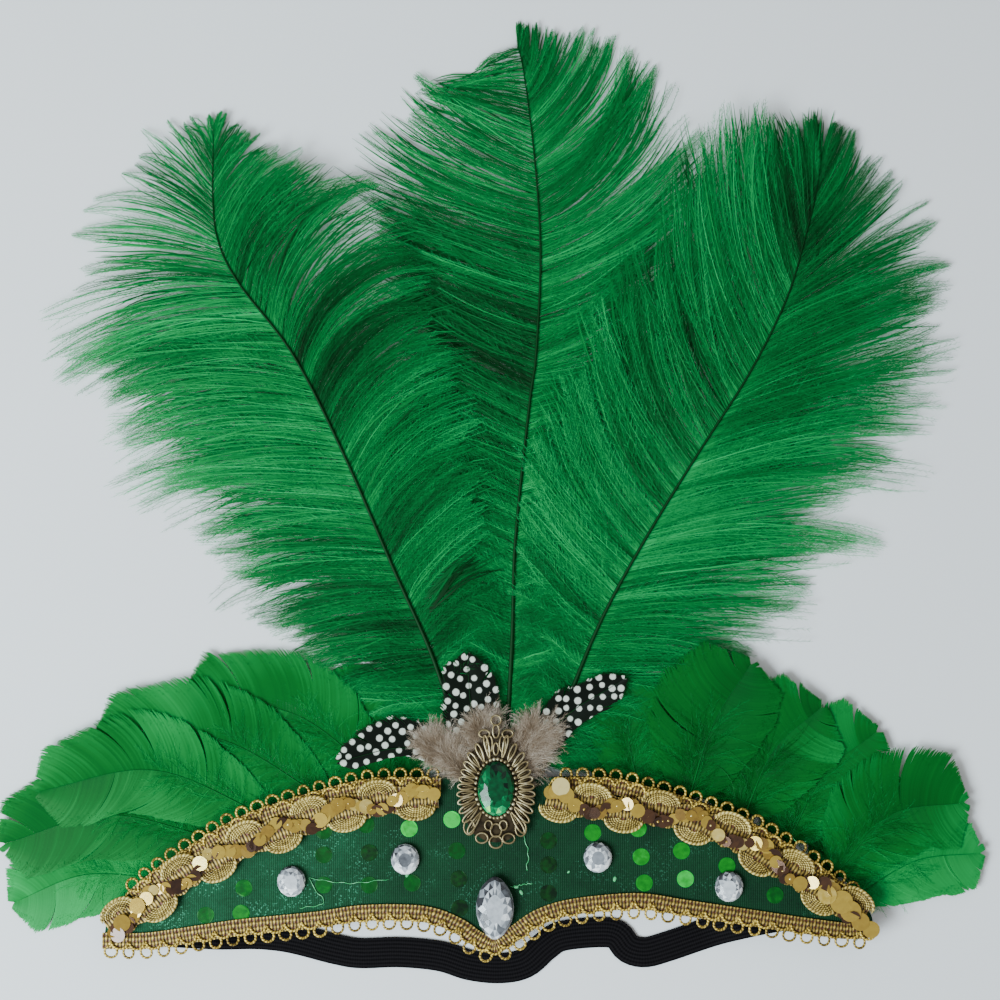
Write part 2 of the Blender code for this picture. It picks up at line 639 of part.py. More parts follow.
def quill(name, path, heights):
    """The round shaft of a plume, thinner towards its tip."""
    line = bpy.data.curves.new(name, "CURVE")
    line.dimensions = "3D"
    line.bevel_depth = QUILL_RADIUS
    line.bevel_resolution = 1
    line.use_fill_caps = True
    spline = line.splines.new("POLY")
    spline.points.add(len(path) - 1)
    thin = np.linspace(1, QUILL_TIP_RADIUS / QUILL_RADIUS, len(path))
    for point, (x, y), z, radius in zip(spline.points, path, heights, thin):
        point.co = (x, y, z, 1)
        point.radius = radius
    return as_mesh(add_object(name, line))


def plume(side, route, length, reach, rows, margins):
    foot = on_band(QUILL_FEET[side])
    shaft = smooth(foot + np.array(route, float) * length, FINE_POINTS)
    table = []
    for share, rise, left, left_heading, left_bend, right, right_heading, right_bend in rows:
        height = QUILL_HEIGHT + rise * PLUME_RISE
        table.append((share, height, left * reach, left_heading, left_bend,
                      right * reach, right_heading, right_bend))
    made = feather_sheet(f"plume_{side}", shaft, table, PLUME_COLUMNS, LOCKS, margins, PLUME_THICK, "plume")
    stations = np.linspace(0, 1, QUILL_POINTS)
    along = np.linspace(0, 1, len(shaft))
    path = np.column_stack([np.interp(stations, along, shaft[:, k]) for k in (0, 1)])
    shares = [0, QUILL_STRAIGHT] + [row[0] for row in table]
    heights = np.interp(stations, shares, [QUILL_HEIGHT] * 2 + [row[1] for row in table])
    unite(made, quill(f"quill_{side}", path, heights))


def build_plumes():
    low = (MARGIN_LOW, MARGIN_LOW)
    high = (MARGIN_HIGH, MARGIN_LOW)
    plume("left", LEFT_QUILL, LEFT_PLUME, LEFT_REACH, LEFT_ROWS, {1: low, -1: high})
    plume("centre", CENTRE_QUILL, CENTRE_PLUME, CENTRE_REACH, CENTRE_ROWS, {1: low, -1: low})
    plume("right", RIGHT_QUILL, RIGHT_PLUME, RIGHT_REACH, RIGHT_ROWS, {1: high, -1: low})


def leaf_feather(name, row, half, height, thick, material, droop=None):
    """A single feather with a rounded end, from a narrow foot to its tip."""
    foot = on_band(row[0:2])
    span = on_band(row[2:4]) - foot
    length = float(np.linalg.norm(span))
    middle = foot + span / 2 + row[4] * np.array([-span[1], span[0]])
    shaft = smooth([foot, middle, foot + LEAF_SHAFT * span], LEAF_POINTS)
    rows = []
    for share, along, across in LEAF:
        forward = (along - LEAF_SHAFT * share) * length
        sides = [math.hypot(forward, half * across * part) for part in row[5:7]]
        headings = [math.degrees(math.atan2(half * across * part, forward)) for part in row[5:7]]
        rows.append((share, height, sides[0], headings[0], 0, sides[1], headings[1], 0))
    level = {1: (height, height), -1: (height, height)}
    made = feather_sheet(name, shaft, rows, LEAF_COLUMNS, 0, level, thick, material)
    if droop:
        for vert in made.data.vertices:
            vert.co.z += droop(np.array(vert.co[:2]))
    return made


def bundle_droop(where):
    """The spotted feathers sink past the band's edge, towards the feathers below."""
    reach = float(np.linalg.norm(where - on_band((0, 1))))
    share = np.interp(reach / PANEL_HALF, DROOP_SHARES, (0, 1))
    return -(PANEL_THICK - GAP) * share * share * (3 - 2 * share)


def build_small_feathers():
    for side, table in (("left", GOOSE_LEFT), ("right", GOOSE_RIGHT)):
        for number, row in enumerate(table, 1):
            height = PANEL_BACK - GAP - GOOSE_THICK / 2 - row[7] * LAYER_STEP
            leaf_feather(f"goose_{side}_{number}", row, GOOSE_HALF, height, GOOSE_THICK, "goose")
    for name, row in GUINEA.items():
        leaf_feather(name, row, GUINEA_HALF, GUINEA_HEIGHT, GUINEA_THICK, "guinea", bundle_droop)
    for name, row in DOWN.items():
        leaf_feather(name, row, DOWN_HALF, DOWN_HEIGHT, GUINEA_THICK, "down")


def centre_on_origin():
    """Puts the middle of the whole headdress over the origin."""
    bpy.context.view_layer.update()
    graph = bpy.context.evaluated_depsgraph_get()
    low = np.full(2, np.inf)
    high = -low
    for item in PARTS.objects:
        if item.type not in ("MESH", "CURVE"):
            continue
        solid = item.evaluated_get(graph)
        data = solid.to_mesh()
        spots = np.array([(solid.matrix_world @ vert.co)[:2] for vert in data.vertices])
        low = np.minimum(low, spots.min(axis=0))
        high = np.maximum(high, spots.max(axis=0))
        solid.to_mesh_clear()
    ASSEMBLY.location = (*(-(low + high) / 2), 0)


clear_scene()
PARTS = make_collection("feather_headdress")
HELPERS = make_collection("helpers")
ASSEMBLY = bpy.data.objects.new("assembly", None)
PARTS.objects.link(ASSEMBLY)
build_panel()
build_looped_braids()
gimp_braid("sequin_braid_left", GIMP_LEFT)
gimp_braid("sequin_braid_right", GIMP_RIGHT)
build_strap()
build_stones()
build_pendant()
build_plumes()
build_small_feathers()
centre_on_origin()
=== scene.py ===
"""The looks of a feather headdress that lies flat on pale cloth: dyed ostrich plumes of single barbs
with their fluff, fanned goose feathers, spotted feathers and down, a knit band with foil dots,
looped gold braid, gimp with sequins, stones, a pierced pendant and an elastic strap.
"""
import math

import bmesh
import bpy
import numpy as np
from mathutils import Matrix, Vector


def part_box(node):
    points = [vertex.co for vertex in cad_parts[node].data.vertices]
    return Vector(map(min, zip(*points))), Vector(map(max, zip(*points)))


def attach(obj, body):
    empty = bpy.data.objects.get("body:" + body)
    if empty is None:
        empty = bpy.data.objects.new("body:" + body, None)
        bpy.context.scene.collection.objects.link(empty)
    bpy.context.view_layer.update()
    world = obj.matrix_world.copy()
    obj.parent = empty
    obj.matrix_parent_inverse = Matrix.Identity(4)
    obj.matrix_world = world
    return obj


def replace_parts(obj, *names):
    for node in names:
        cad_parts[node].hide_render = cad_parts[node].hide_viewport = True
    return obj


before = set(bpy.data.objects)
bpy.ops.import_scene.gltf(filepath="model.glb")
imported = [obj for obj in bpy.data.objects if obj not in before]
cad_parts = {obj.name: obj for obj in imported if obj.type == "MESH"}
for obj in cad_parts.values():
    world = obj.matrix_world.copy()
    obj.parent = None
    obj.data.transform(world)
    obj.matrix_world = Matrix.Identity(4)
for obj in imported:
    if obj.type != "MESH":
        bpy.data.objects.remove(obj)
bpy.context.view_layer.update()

MM = 0.001

# Sizes in metres, as the solids have them
PANEL_HALF = 0.154
PANEL_ARCH = 0.052
PANEL_BACK = 5.4 * MM
PANEL_TOP = 7.4 * MM
BRAID_WIDTH = 6.4 * MM
BRAID_BACK = 7.7 * MM
BRAID_FRONT = 8.7 * MM
UPPER_LOOP_PITCH = 6.6 * MM
LOWER_LOOP_PITCH = 7.0 * MM
LOOP_REACH = 3.7 * MM
GIMP_BACK = 9.0 * MM
STRAP_WIDTH = 12 * MM
STRAP_THICK = 1.0 * MM
PENDANT_HALF = 16.5 * MM
PENDANT_LENGTH = 51 * MM
PENDANT_BACK = 9.5 * MM
STONE_LENGTH = 21.6 * MM
STONE_WIDTH = 14.4 * MM
LEFT_PLUME = 0.314
CENTRE_PLUME = 0.323
RIGHT_PLUME = 0.312
LEFT_REACH = 0.088
CENTRE_REACH = 0.076
RIGHT_REACH = 0.094
PLUME_RISE = 7 * MM
GOOSE_HALF = 0.021
GUINEA_HALF = 0.0125
DOWN_HALF = 0.010

# Details: rows of the braid for each loop, the gimp's strip, sequins and scallops, and the pendant's
# leaves as a share of its reach, with the heights along a vein over its back
BRAID_STEP = 8
GIMP_HALF = 5.2 * MM
GIMP_ROWS = 161
SEQUIN_STEP = 2.1 * MM
SCALLOP_HALF = 7.6 * MM
SCALLOP_DEPTH = 6.0 * MM
SCALLOP_RINGS = (1.0, 0.90, 0.78, 0.66, 0.54, 0.42, 0.30)
PENDANT_RIM = 0.93
VEIN_HEIGHTS = (0.9 * MM, 1.3 * MM, 1.4 * MM, 1.3 * MM, 1.1 * MM, 0.8 * MM)
# Stones: length, width and height
ROUND_STONE = (12.2 * MM, 11.2 * MM, 3.4 * MM)
NAVETTE_STONE = (25 * MM, 15 * MM, 4.2 * MM)
OVAL_STONE = (STONE_LENGTH, STONE_WIDTH, 3.6 * MM)

# The photograph spans 1000 pixels and 0.4 m at the band, and its middle is this far from the band's
PHOTO_SPAN = 0.4
PHOTO_MIDDLE = (0.0008, 0.162)
CAMERA_HEIGHT = 0.95
SENSOR = 36

# Band edges: X as a share of PANEL_HALF, Y as a share of PANEL_ARCH
UPPER_EDGE = (
    (-1.008, -0.08), (-0.956, 0.115), (-0.878, 0.308), (-0.774, 0.515), (-0.670, 0.692), (-0.566, 0.808),
    (-0.462, 0.900), (-0.358, 0.977), (-0.255, 1.000), (0.000, 0.990), (0.265, 1.000), (0.395, 0.923),
    (0.525, 0.808), (0.655, 0.654), (0.784, 0.423), (0.888, 0.192), (0.953, 0.000), (0.971, -0.154),
)
LOWER_EDGE = (
    (-1.019, -0.308), (-0.903, -0.308), (-0.773, -0.254), (-0.669, -0.208), (-0.565, -0.177),
    (-0.461, -0.146), (-0.357, -0.100), (-0.253, -0.092), (-0.175, -0.115), (-0.110, -0.192),
    (-0.060, -0.292), (-0.006, -0.346), (0.050, -0.250), (0.109, -0.131), (0.175, -0.062), (0.265, -0.023),
    (0.369, -0.008), (0.473, -0.054), (0.577, -0.100), (0.681, -0.146), (0.784, -0.192), (0.888, -0.231),
    (0.953, -0.231),
)
UPPER_BRAIDS = {"upper_braid_left": (-0.955, -0.145), "upper_braid_right": (0.145, 0.925)}
GIMP = {
    "sequin_braid_left": (
        (-1.000, -0.160), (-0.904, 0.038), (-0.774, 0.308), (-0.644, 0.500), (-0.514, 0.654),
        (-0.384, 0.769), (-0.254, 0.835), (-0.155, 0.865),
    ),
    "sequin_braid_right": (
        (0.125, 0.855), (0.278, 0.769), (0.452, 0.715), (0.616, 0.538), (0.719, 0.346), (0.784, 0.231),
        (0.888, 0.038), (0.940, -0.070),
    ),
}
# Shares along each gimp where a scallop stands below it and above it
SCALLOPS = {
    "sequin_braid_left": ((0.153, 0.351, 0.551, 0.740, 0.937), (0.050, 0.255, 0.455, 0.645, 0.835)),
    "sequin_braid_right": ((0.040, 0.228, 0.439, 0.649, 0.862), (0.130, 0.330, 0.540, 0.752, 0.955)),
}
STRAP_ROUTE = (
    (-0.847, -0.192), (-0.748, -0.208), (-0.566, -0.238), (-0.423, -0.338), (-0.358, -0.369),
    (-0.255, -0.362), (-0.151, -0.392), (-0.073, -0.462), (0.005, -0.485), (0.070, -0.446),
    (0.122, -0.315), (0.166, -0.238), (0.265, -0.208), (0.309, -0.231), (0.338, -0.331), (0.382, -0.362),
    (0.442, -0.315), (0.525, -0.231), (0.629, -0.131), (0.758, -0.054),
)
STRAP_SEWN_SHARE = 0.07
# Foil dots: X and Y in the band's shares, then how bright each one catches the light
FOIL_DOTS = (
    (-0.753, -0.054, 0.35), (-0.662, -0.038, 0.5), (-0.655, 0.154, 0.4), (-0.449, 0.592, 0.3),
    (-0.449, 0.408, 0.25), (-0.449, 0.177, 0.35), (-0.340, 0.638, 0.35), (-0.332, 0.423, 0.12),
    (-0.332, 0.177, 0.3), (-0.229, 0.608, 0.9), (-0.221, 0.192, 0.3), (-0.119, 0.677, 1.0),
    (-0.106, 0.438, 0.25), (-0.101, 0.223, 0.1), (-0.099, 0.000, 0.05), (0.130, 0.515, 0.15),
    (0.130, 0.331, 0.1), (0.130, 0.115, 0.05), (0.244, 0.577, 0.6), (0.361, 0.608, 0.75),
    (0.369, 0.392, 0.7), (0.377, 0.192, 0.6), (0.473, 0.438, 0.65), (0.483, 0.223, 0.9),
    (0.590, 0.323, 0.6), (0.714, 0.100, 0.35),
)
FOIL_DOT = 6.8 * MM
GLUE_THREADS = (
    ((-0.488, 0.231), (-0.384, 0.192), (-0.281, 0.223)),
    ((-0.488, 0.231), (-0.468, 0.131), (-0.449, 0.038), (-0.514, 0.000)),
    ((0.031, 0.162), (0.057, 0.177), (0.088, 0.192)),
    ((0.758, 0.538), (0.777, 0.500), (0.792, 0.515)),
    ((0.914, -0.154), (0.927, -0.208), (0.919, -0.269)),
    ((0.065, 0.562), (0.078, 0.423), (0.073, 0.285)),
)
GLUE_BLOBS = ((0.182, 0.277), (0.301, 0.223), (-0.234, 0.254), (0.047, 0.162), (0.060, 0.120))
RHINESTONES = ((-0.532, 0.208), (-0.239, 0.377), (0.257, 0.392), (0.595, 0.169))
NAVETTE_PLACE = (-0.008, 0.010)
STONE_PLACE = (-0.005, 0.923)
PENDANT_OUTLINE = (
    (0.485, 0.24), (0.470, 0.40), (0.415, 0.46), (0.350, 0.60), (0.275, 0.76), (0.200, 0.84), (0.100, 0.93),
    (0.000, 0.99), (-0.080, 1.00), (-0.160, 0.96), (-0.240, 0.90), (-0.330, 0.78), (-0.400, 0.68),
    (-0.440, 0.48), (-0.475, 0.28), (-0.490, 0.00),
)

# Quill routes: X and Y from the quill's foot, as shares of the plume's length
QUILL_FEET = {"left": (-0.034, 0.538), "centre": (0.013, 0.538), "right": (0.062, 0.538)}
QUILLS = {
    "left": (
        (0, 0), (-0.019, 0.070), (-0.061, 0.213), (-0.115, 0.338), (-0.178, 0.484), (-0.242, 0.610),
        (-0.310, 0.699), (-0.337, 0.752), (-0.345, 0.806), (-0.345, 0.900),
    ),
    "centre": (
        (0, 0), (0.002, 0.068), (0.011, 0.241), (0.015, 0.365), (0.033, 0.539), (0.040, 0.588),
        (0.046, 0.712), (0.040, 0.824), (0.026, 0.940), (0.018, 0.976),
    ),
    "right": (
        (0, 0), (0.025, 0.083), (0.061, 0.180), (0.104, 0.283), (0.160, 0.386), (0.224, 0.490),
        (0.288, 0.590), (0.336, 0.686), (0.360, 0.763), (0.375, 0.820), (0.383, 0.870),
    ),
}
# Plume rows: share along the shaft, rise as a share of PLUME_RISE, then for the left and the right
# side the reach as a share of the plume's reach, the heading off the shaft and the bend
PLUME_ROWS = {
    "left": (
        (0.10, 0.00, 0.16, 80, -10, 0.14, 75, 0),
        (0.19, 0.00, 0.38, 76, 0, 0.30, 68, 15),
        (0.27, 0.04, 0.58, 70, 12, 0.42, 60, 25),
        (0.345, 0.31, 0.70, 65, 15, 0.51, 55, 30),
        (0.44, 0.60, 0.83, 60, 20, 0.58, 50, 42),
        (0.515, 0.74, 0.93, 55, 25, 0.66, 47, 48),
        (0.655, 0.80, 0.98, 50, 32, 0.76, 44, 56),
        (0.715, 0.74, 0.97, 49, 34, 0.82, 43, 58),
        (0.77, 0.63, 0.88, 50, 30, 0.72, 43, 55),
        (0.826, 0.46, 0.70, 50, 24, 0.58, 42, 42),
        (0.884, 0.21, 0.50, 44, 16, 0.42, 40, 25),
        (0.938, -0.03, 0.32, 34, 8, 0.28, 31, 8),
        (0.97, -0.15, 0.18, 22, 4, 0.17, 20, 4),
        (1.0, -0.26, 0.09, 10, 0, 0.09, 8, 0),
    ),
    "centre": (
        (0.11, 0.00, 0.16, 75, 0, 0.16, 75, 0),
        (0.20, 0.00, 0.34, 72, 5, 0.32, 72, 0),
        (0.26, 0.01, 0.44, 70, 5, 0.42, 70, 0),
        (0.365, 0.09, 0.52, 69, 5, 0.50, 68, -5),
        (0.446, 0.13, 0.62, 70, 0, 0.62, 68, -10),
        (0.54, 0.17, 0.76, 74, -5, 0.76, 70, -22),
        (0.71, 0.17, 0.92, 77, -15, 0.99, 72, -38),
        (0.79, 0.13, 0.94, 74, -18, 0.96, 71, -40),
        (0.84, 0.08, 0.78, 68, -12, 0.84, 66, -38),
        (0.885, 0.03, 0.62, 62, -8, 0.66, 58, -34),
        (0.93, -0.05, 0.50, 66, 0, 0.42, 44, -22),
        (0.97, -0.13, 0.36, 84, 20, 0.24, 30, -15),
        (1.0, -0.17, 0.13, 80, 40, 0.10, 16, -10),
    ),
    "right": (
        (0.10, 0.00, 0.14, 80, 0, 0.20, 80, 0),
        (0.19, 0.00, 0.26, 80, -5, 0.46, 74, 6),
        (0.27, 0.04, 0.40, 78, -10, 0.66, 64, 8),
        (0.317, 0.23, 0.50, 78, -14, 0.84, 54, 12),
        (0.413, 0.60, 0.68, 76, -30, 0.93, 44, 14),
        (0.548, 0.91, 0.84, 72, -38, 1.00, 37, 16),
        (0.663, 0.97, 0.95, 64, -38, 0.93, 34, 14),
        (0.77, 0.89, 0.87, 54, -32, 0.80, 33, 10),
        (0.82, 0.74, 0.72, 44, -22, 0.66, 31, 4),
        (0.928, 0.26, 0.42, 22, -14, 0.42, 22, -8),
        (1.0, -0.06, 0.20, 10, 0, 0.20, 10, 0),
    ),
}
PLUME_SIZES = {
    "left": (LEFT_PLUME, LEFT_REACH),
    "centre": (CENTRE_PLUME, CENTRE_REACH),
    "right": (RIGHT_PLUME, RIGHT_REACH),
}
QUILL_HEIGHT = 3.35 * MM
MARGIN_LOW = 1.2 * MM
MARGIN_HIGH = 7.8 * MM
# Margin heights of each plume, left and right side
PLUME_MARGINS = {
    "left": (MARGIN_LOW, MARGIN_HIGH),
    "centre": (MARGIN_LOW, MARGIN_LOW),
    "right": (MARGIN_HIGH, MARGIN_LOW),
}
# Strands and locks of barbs on the left and right side, how far the locks draw together, how dense
# the barbs still are at the tip, and the reach of the barbules
PLUME_LOCKS = {
    "centre": ((125, 125), (46, 46), (0.40, 0.34), (0.42, 0.9), 3.8 * MM),
    "left": ((112, 125), (50, 40), (0.30, 0.34), (0.30, 0.42), 3.4 * MM),
    "right": ((125, 118), (44, 46), (0.34, 0.44), (0.9, 0.65), 4.2 * MM),
}
PLUME_BARBS = 850
PLUME_BARBULES = 80
PLUME_STEPS = 9
SHAFT_ROWS = 60
# Up to this share a plume's shaft lies low, behind the band
SHAFT_HIDDEN = 0.22
# Plume sides that lie against another plume
INNER = (("left", "right"), ("centre", "left"), ("centre", "right"), ("right", "left"))
# Barbs that twist together: plume, side, shares along the shaft, where their tips meet in the band's
# shares, how strongly and how much painted shade darkens them
TWISTS = (
    ("left", -1, 0.73, 0.79, (-0.280, 5.420), 0.66, 0.16),
    ("left", -1, 0.66, 0.70, (-0.215, 4.980), 0.55, 0.26),
    ("left", -1, 0.59, 0.62, (-0.200, 4.420), 0.45, 0.28),
    ("right", 1, 0.86, 1.00, (0.775, 5.870), 0.35, 0.10),
    ("right", -1, 0.88, 1.00, (0.865, 5.850), 0.35, 0.10),
)
# Painted shade and painted light on the plumes: X and Y in the band's shares, radius in metres, amount
PAINTED_LIGHT_AND_SHADE = (
    (-0.190, 4.50, 0.016, -0.55), (-0.216, 5.15, 0.010, -0.40), (0.030, 6.61, 0.006, -0.35),
    (0.823, 5.50, 0.018, -0.22), (0.790, 5.05, 0.010, -0.35), (0.730, 3.10, 0.026, 0.22),
    (-0.774, 3.58, 0.022, 0.25), (-0.255, 2.04, 0.020, -0.30), (0.520, 4.40, 0.022, -0.12),
    (0.160, 3.30, 0.025, 0.10), (0.060, 5.60, 0.030, 0.10), (-0.330, 3.30, 0.022, -0.12),
)

# Goose feathers: foot and tip X as shares of PANEL_HALF and Y of PANEL_ARCH, bow of the shaft to
# the left as a share of its length, half widths to the left and right as shares of GOOSE_HALF,
# and how many layers it lies under the band
GOOSE = {
    "goose_left_1": (-0.205, 0.885, -0.410, 1.850, 0.03, 0.80, 0.55, 3),
    "goose_left_2": (-0.275, 0.885, -0.815, 1.640, -0.12, 0.95, 1.00, 2),
    "goose_left_3": (-0.436, 0.800, -1.045, 1.330, -0.12, 0.95, 0.98, 1),
    "goose_left_4": (-0.588, 0.680, -1.205, 0.900, -0.14, 0.95, 0.95, 0),
    "goose_left_5": (-0.715, 0.500, -1.300, 0.480, -0.12, 0.90, 0.90, 2),
    "goose_left_6": (-0.868, 0.210, -1.270, 0.020, -0.10, 0.85, 0.80, 3),
    "goose_right_1": (0.365, 0.880, 0.345, 1.760, 0.06, 0.72, 0.95, 1),
    "goose_right_2": (0.495, 0.850, 0.660, 1.900, 0.06, 1.20, 1.05, 0),
    "goose_right_3": (0.640, 0.720, 0.845, 1.560, 0.10, 1.15, 1.10, 1),
    "goose_right_4": (0.755, 0.510, 0.990, 1.370, 0.10, 1.05, 1.00, 2),
    "goose_right_5": (0.875, 0.255, 1.220, 0.820, 0.16, 1.10, 1.00, 1),
    "goose_right_6": (0.925, 0.075, 1.262, 0.420, 0.10, 0.70, 0.80, 2),
}
# How much paler, or deeper where negative, some of them are than their dye
PALE = {
    "goose_left_3": 0.02, "goose_left_4": 0.04, "goose_left_5": -0.02, "goose_left_6": 0.30,
    "goose_right_1": -0.10, "goose_right_2": -0.16, "goose_right_3": -0.14, "goose_right_4": -0.08,
    "goose_right_5": -0.06, "goose_right_6": 0.24,
}
# Short feathers that fill the gaps between those on the right, which no solid stands for
FILL = {
    "fill_right_1": (0.280, 0.880, 0.430, 1.500, 0.05, 0.80, 0.80, 3),
    "fill_right_2": (0.430, 0.800, 0.560, 1.450, 0.05, 0.80, 0.80, 3),
    "fill_right_3": (0.585, 0.680, 0.770, 1.430, 0.05, 0.90, 0.80, 3),
    "fill_right_4": (0.715, 0.500, 0.920, 1.180, 0.05, 0.90, 0.80, 3),
    "fill_right_5": (0.830, 0.270, 1.080, 0.880, 0.05, 0.90, 0.80, 3),
}
FILL_TONE = -0.16
GOOSE_TOP = 4.75 * MM
LAYER_STEP = 1.15 * MM
GUINEA = {
    "guinea_left": (-0.042, 0.970, -0.420, 1.130, -0.15, 0.40, 0.85, 0),
    "guinea_centre": (-0.004, 0.880, -0.084, 1.960, 0.05, 1.00, 1.00, 0),
    "guinea_right": (0.048, 0.900, 0.335, 1.780, 0.10, 0.66, 0.66, 0),
}
DOWN = {
    "down_left": (-0.072, 1.000, -0.235, 1.330, -0.08, 0.55, 0.70, 0),
    "down_top": (-0.022, 0.960, -0.052, 1.560, 0.00, 0.62, 0.80, 0),
    "down_right": (0.036, 0.960, 0.135, 1.500, 0.06, 0.72, 0.85, 0),
}
GUINEA_HEIGHT = 8.4 * MM
DOWN_HEIGHT = 8.9 * MM
# The spotted feathers start to droop at this share of PANEL_HALF from the band's top, and end so
DROOP_SHARES = (0.11, 0.18)
DROOP_DEPTH = 1.7 * MM
# Outlines of the spotted feathers and of the fuller goose feathers: share along the shaft, then the
# margin's share of the length and of the half width
LEAF = (
    (0.00, 0.00, 0.06), (0.09, 0.10, 0.20), (0.26, 0.38, 0.80), (0.50, 0.66, 1.00), (0.80, 0.91, 0.76),
    (1.00, 1.00, 0.06),
)
FULL_LEAF = (
    (0.00, 0.02, 0.35), (0.09, 0.16, 0.66), (0.26, 0.40, 0.97), (0.50, 0.67, 1.08), (0.80, 0.93, 0.84),
    (1.00, 1.00, 0.06),
)
LEAF_SHAFT = 0.96
LEAF_STEPS = 8
LEAF_SPLITS = 5
GOOSE_BARBS = 150
GUINEA_BARBS = 120
TUFT_BARBULES = 24
VANE_TILT = 0.12

SMOOTH_STEPS = 16
FINE_POINTS = 200
UP = np.array([0.0, 0.0, 1.0])
rng = np.random.default_rng(7)


# Places and curves

def band_middle():
    """Where the band's own origin lies in the row frame: the pendant's stone says."""
    low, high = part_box("pendant_stone")
    return np.array([
        (low.x + high.x) / 2 - STONE_PLACE[0] * PANEL_HALF,
        (low.y + high.y) / 2 - STONE_PLACE[1] * PANEL_ARCH,
    ])


MIDDLE = band_middle()


def on_band(shares):
    """Points given as shares of the band's half length and arch, in the row frame."""
    return np.array(shares, float) * (PANEL_HALF, PANEL_ARCH) + MIDDLE


def smooth(points, count):
    """Points at even steps along the smooth curve through the given ones."""
    knots = np.array(points, float)
    ends = np.vstack([2 * knots[0] - knots[1], knots, 2 * knots[-1] - knots[-2]])
    step = np.linspace(0, 1, SMOOTH_STEPS, endpoint=False)[:, None]
    pieces = []
    for a, b, c, d in zip(ends, ends[1:], ends[2:], ends[3:]):
        cubic = -a + 3 * b - 3 * c + d
        square = 2 * a - 5 * b + 4 * c - d
        pieces.append(0.5 * (2 * b + (c - a) * step + square * step**2 + cubic * step**3))
    fine = np.vstack(pieces + [knots[-1:]])
    run = np.concatenate([[0], np.cumsum(np.linalg.norm(np.diff(fine, axis=0), axis=1))])
    where = np.linspace(0, run[-1], count)
    return np.column_stack([np.interp(where, run, fine[:, k]) for k in range(fine.shape[1])])


def unit(vectors):
    return vectors / np.maximum(np.linalg.norm(vectors, axis=-1, keepdims=True), 1e-12)


def sideways(path):
    """Unit vectors to the left of a path, point by point."""
    ahead = unit(np.gradient(path, axis=0))
    return np.column_stack([-ahead[:, 1], ahead[:, 0]])


def raised(flat, height):
    """Flat points, lifted to one height or to one each."""
    return np.column_stack([flat, np.broadcast_to(height, len(flat))])


def round_turn(count):
    """Even angles round a whole turn."""
    return np.arange(count) * 2 * math.pi / count


def at_shares(table, shares):
    """Rows of a table of points, read at shares of its length."""
    along = np.linspace(0, 1, len(table))
    return np.column_stack([np.interp(shares, along, table[:, k]) for k in range(table.shape[1])])


def length_of(points):
    return float(np.linalg.norm(np.diff(points, axis=0), axis=1).sum())


def ease(share):
    """From 0 to 1 with a soft start and a soft end."""
    return share * share * (3 - 2 * share)


def panel_height(spots):
    """Height of the knit's front, which swells softly between its seams."""
    x, y = ((spots - MIDDLE) / (PANEL_HALF, PANEL_ARCH)).T
    return PANEL_TOP + 0.14 * MM * np.sin(11 * x + 2 * y) * np.sin(5 * y + 3 * x)


# Meshes of many like copies

def grid_faces(rows, columns, closed=False, ring=False):
    """Faces of a grid of corners, numbered row by row. A closed one joins its last column to its
    first, as a tube does, and a ring joins its last row to its first."""
    shape = bmesh.new()
    across = columns if closed else columns - 1
    along = rows if ring else rows - 1
    bmesh.ops.create_grid(shape, x_segments=across, y_segments=along, size=1)
    place = {}
    for vert in shape.verts:
        row = round((vert.co.y + 1) / 2 * along) % rows
        column = round((vert.co.x + 1) / 2 * across) % columns
        place[vert] = row * columns + column
    faces = np.array([[place[vert] for vert in face.verts] for face in shape.faces])
    shape.free()
    return faces


def add_object(name, data):
    made = bpy.data.objects.new(name, data)
    bpy.context.scene.collection.objects.link(made)
    return made


def piece(name, data, material):
    made = add_object(name, data)
    data.materials.append(material)
    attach(made, "root")
    return made


def copies(name, faces, spots, material, marks=None, uv=None, crisp=False):
    """One mesh of many copies of the same faces. Spots are copies by corners by 3, and marks are
    named numbers for each of them."""
    count, corners = spots.shape[:2]
    every = (faces + corners * np.arange(count)[:, None, None]).reshape(-1, faces.shape[1])
    data = bpy.data.meshes.new(name)
    data.vertices.add(count * corners)
    data.vertices.foreach_set("co", np.ascontiguousarray(spots, np.float32).ravel())
    data.loops.add(every.size)
    data.loops.foreach_set("vertex_index", every.astype(np.int32).ravel())
    data.polygons.add(len(every))
    data.polygons.foreach_set("loop_start", (np.arange(len(every)) * faces.shape[1]).astype(np.int32))
    data.update(calc_edges=True)
    for label, values in (marks or {}).items():
        mark = data.attributes.new(label, "FLOAT", "POINT")
        mark.data.foreach_set("value", np.ascontiguousarray(values, np.float32).ravel())
    if uv is not None:
        layer = data.uv_layers.new(name="UVMap")
        flat = uv.reshape(-1, 2)[every.ravel()]
        layer.data.foreach_set("uv", np.ascontiguousarray(flat, np.float32).ravel())
    if crisp:
        data.shade_flat()
    else:
        data.shade_smooth()
    return piece(name, data, material)


def shape_piece(name, shape, material, smooth_angle=None):
    """A piece from a finished shape, which is freed."""
    data = bpy.data.meshes.new(name)
    shape.to_mesh(data)
    shape.free()
    if smooth_angle is not None:
        data.shade_smooth()
        data.set_sharp_from_angle(angle=math.radians(smooth_angle))
    return piece(name, data, material)


def prototype(shape):
    """Corners and triangles of a shape, which is freed."""
    bmesh.ops.triangulate(shape, faces=shape.faces)
    shape.verts.index_update()
    corners = np.array([vert.co for vert in shape.verts])
    faces = np.array([[vert.index for vert in face.verts] for face in shape.faces])
    shape.free()
    return corners, faces


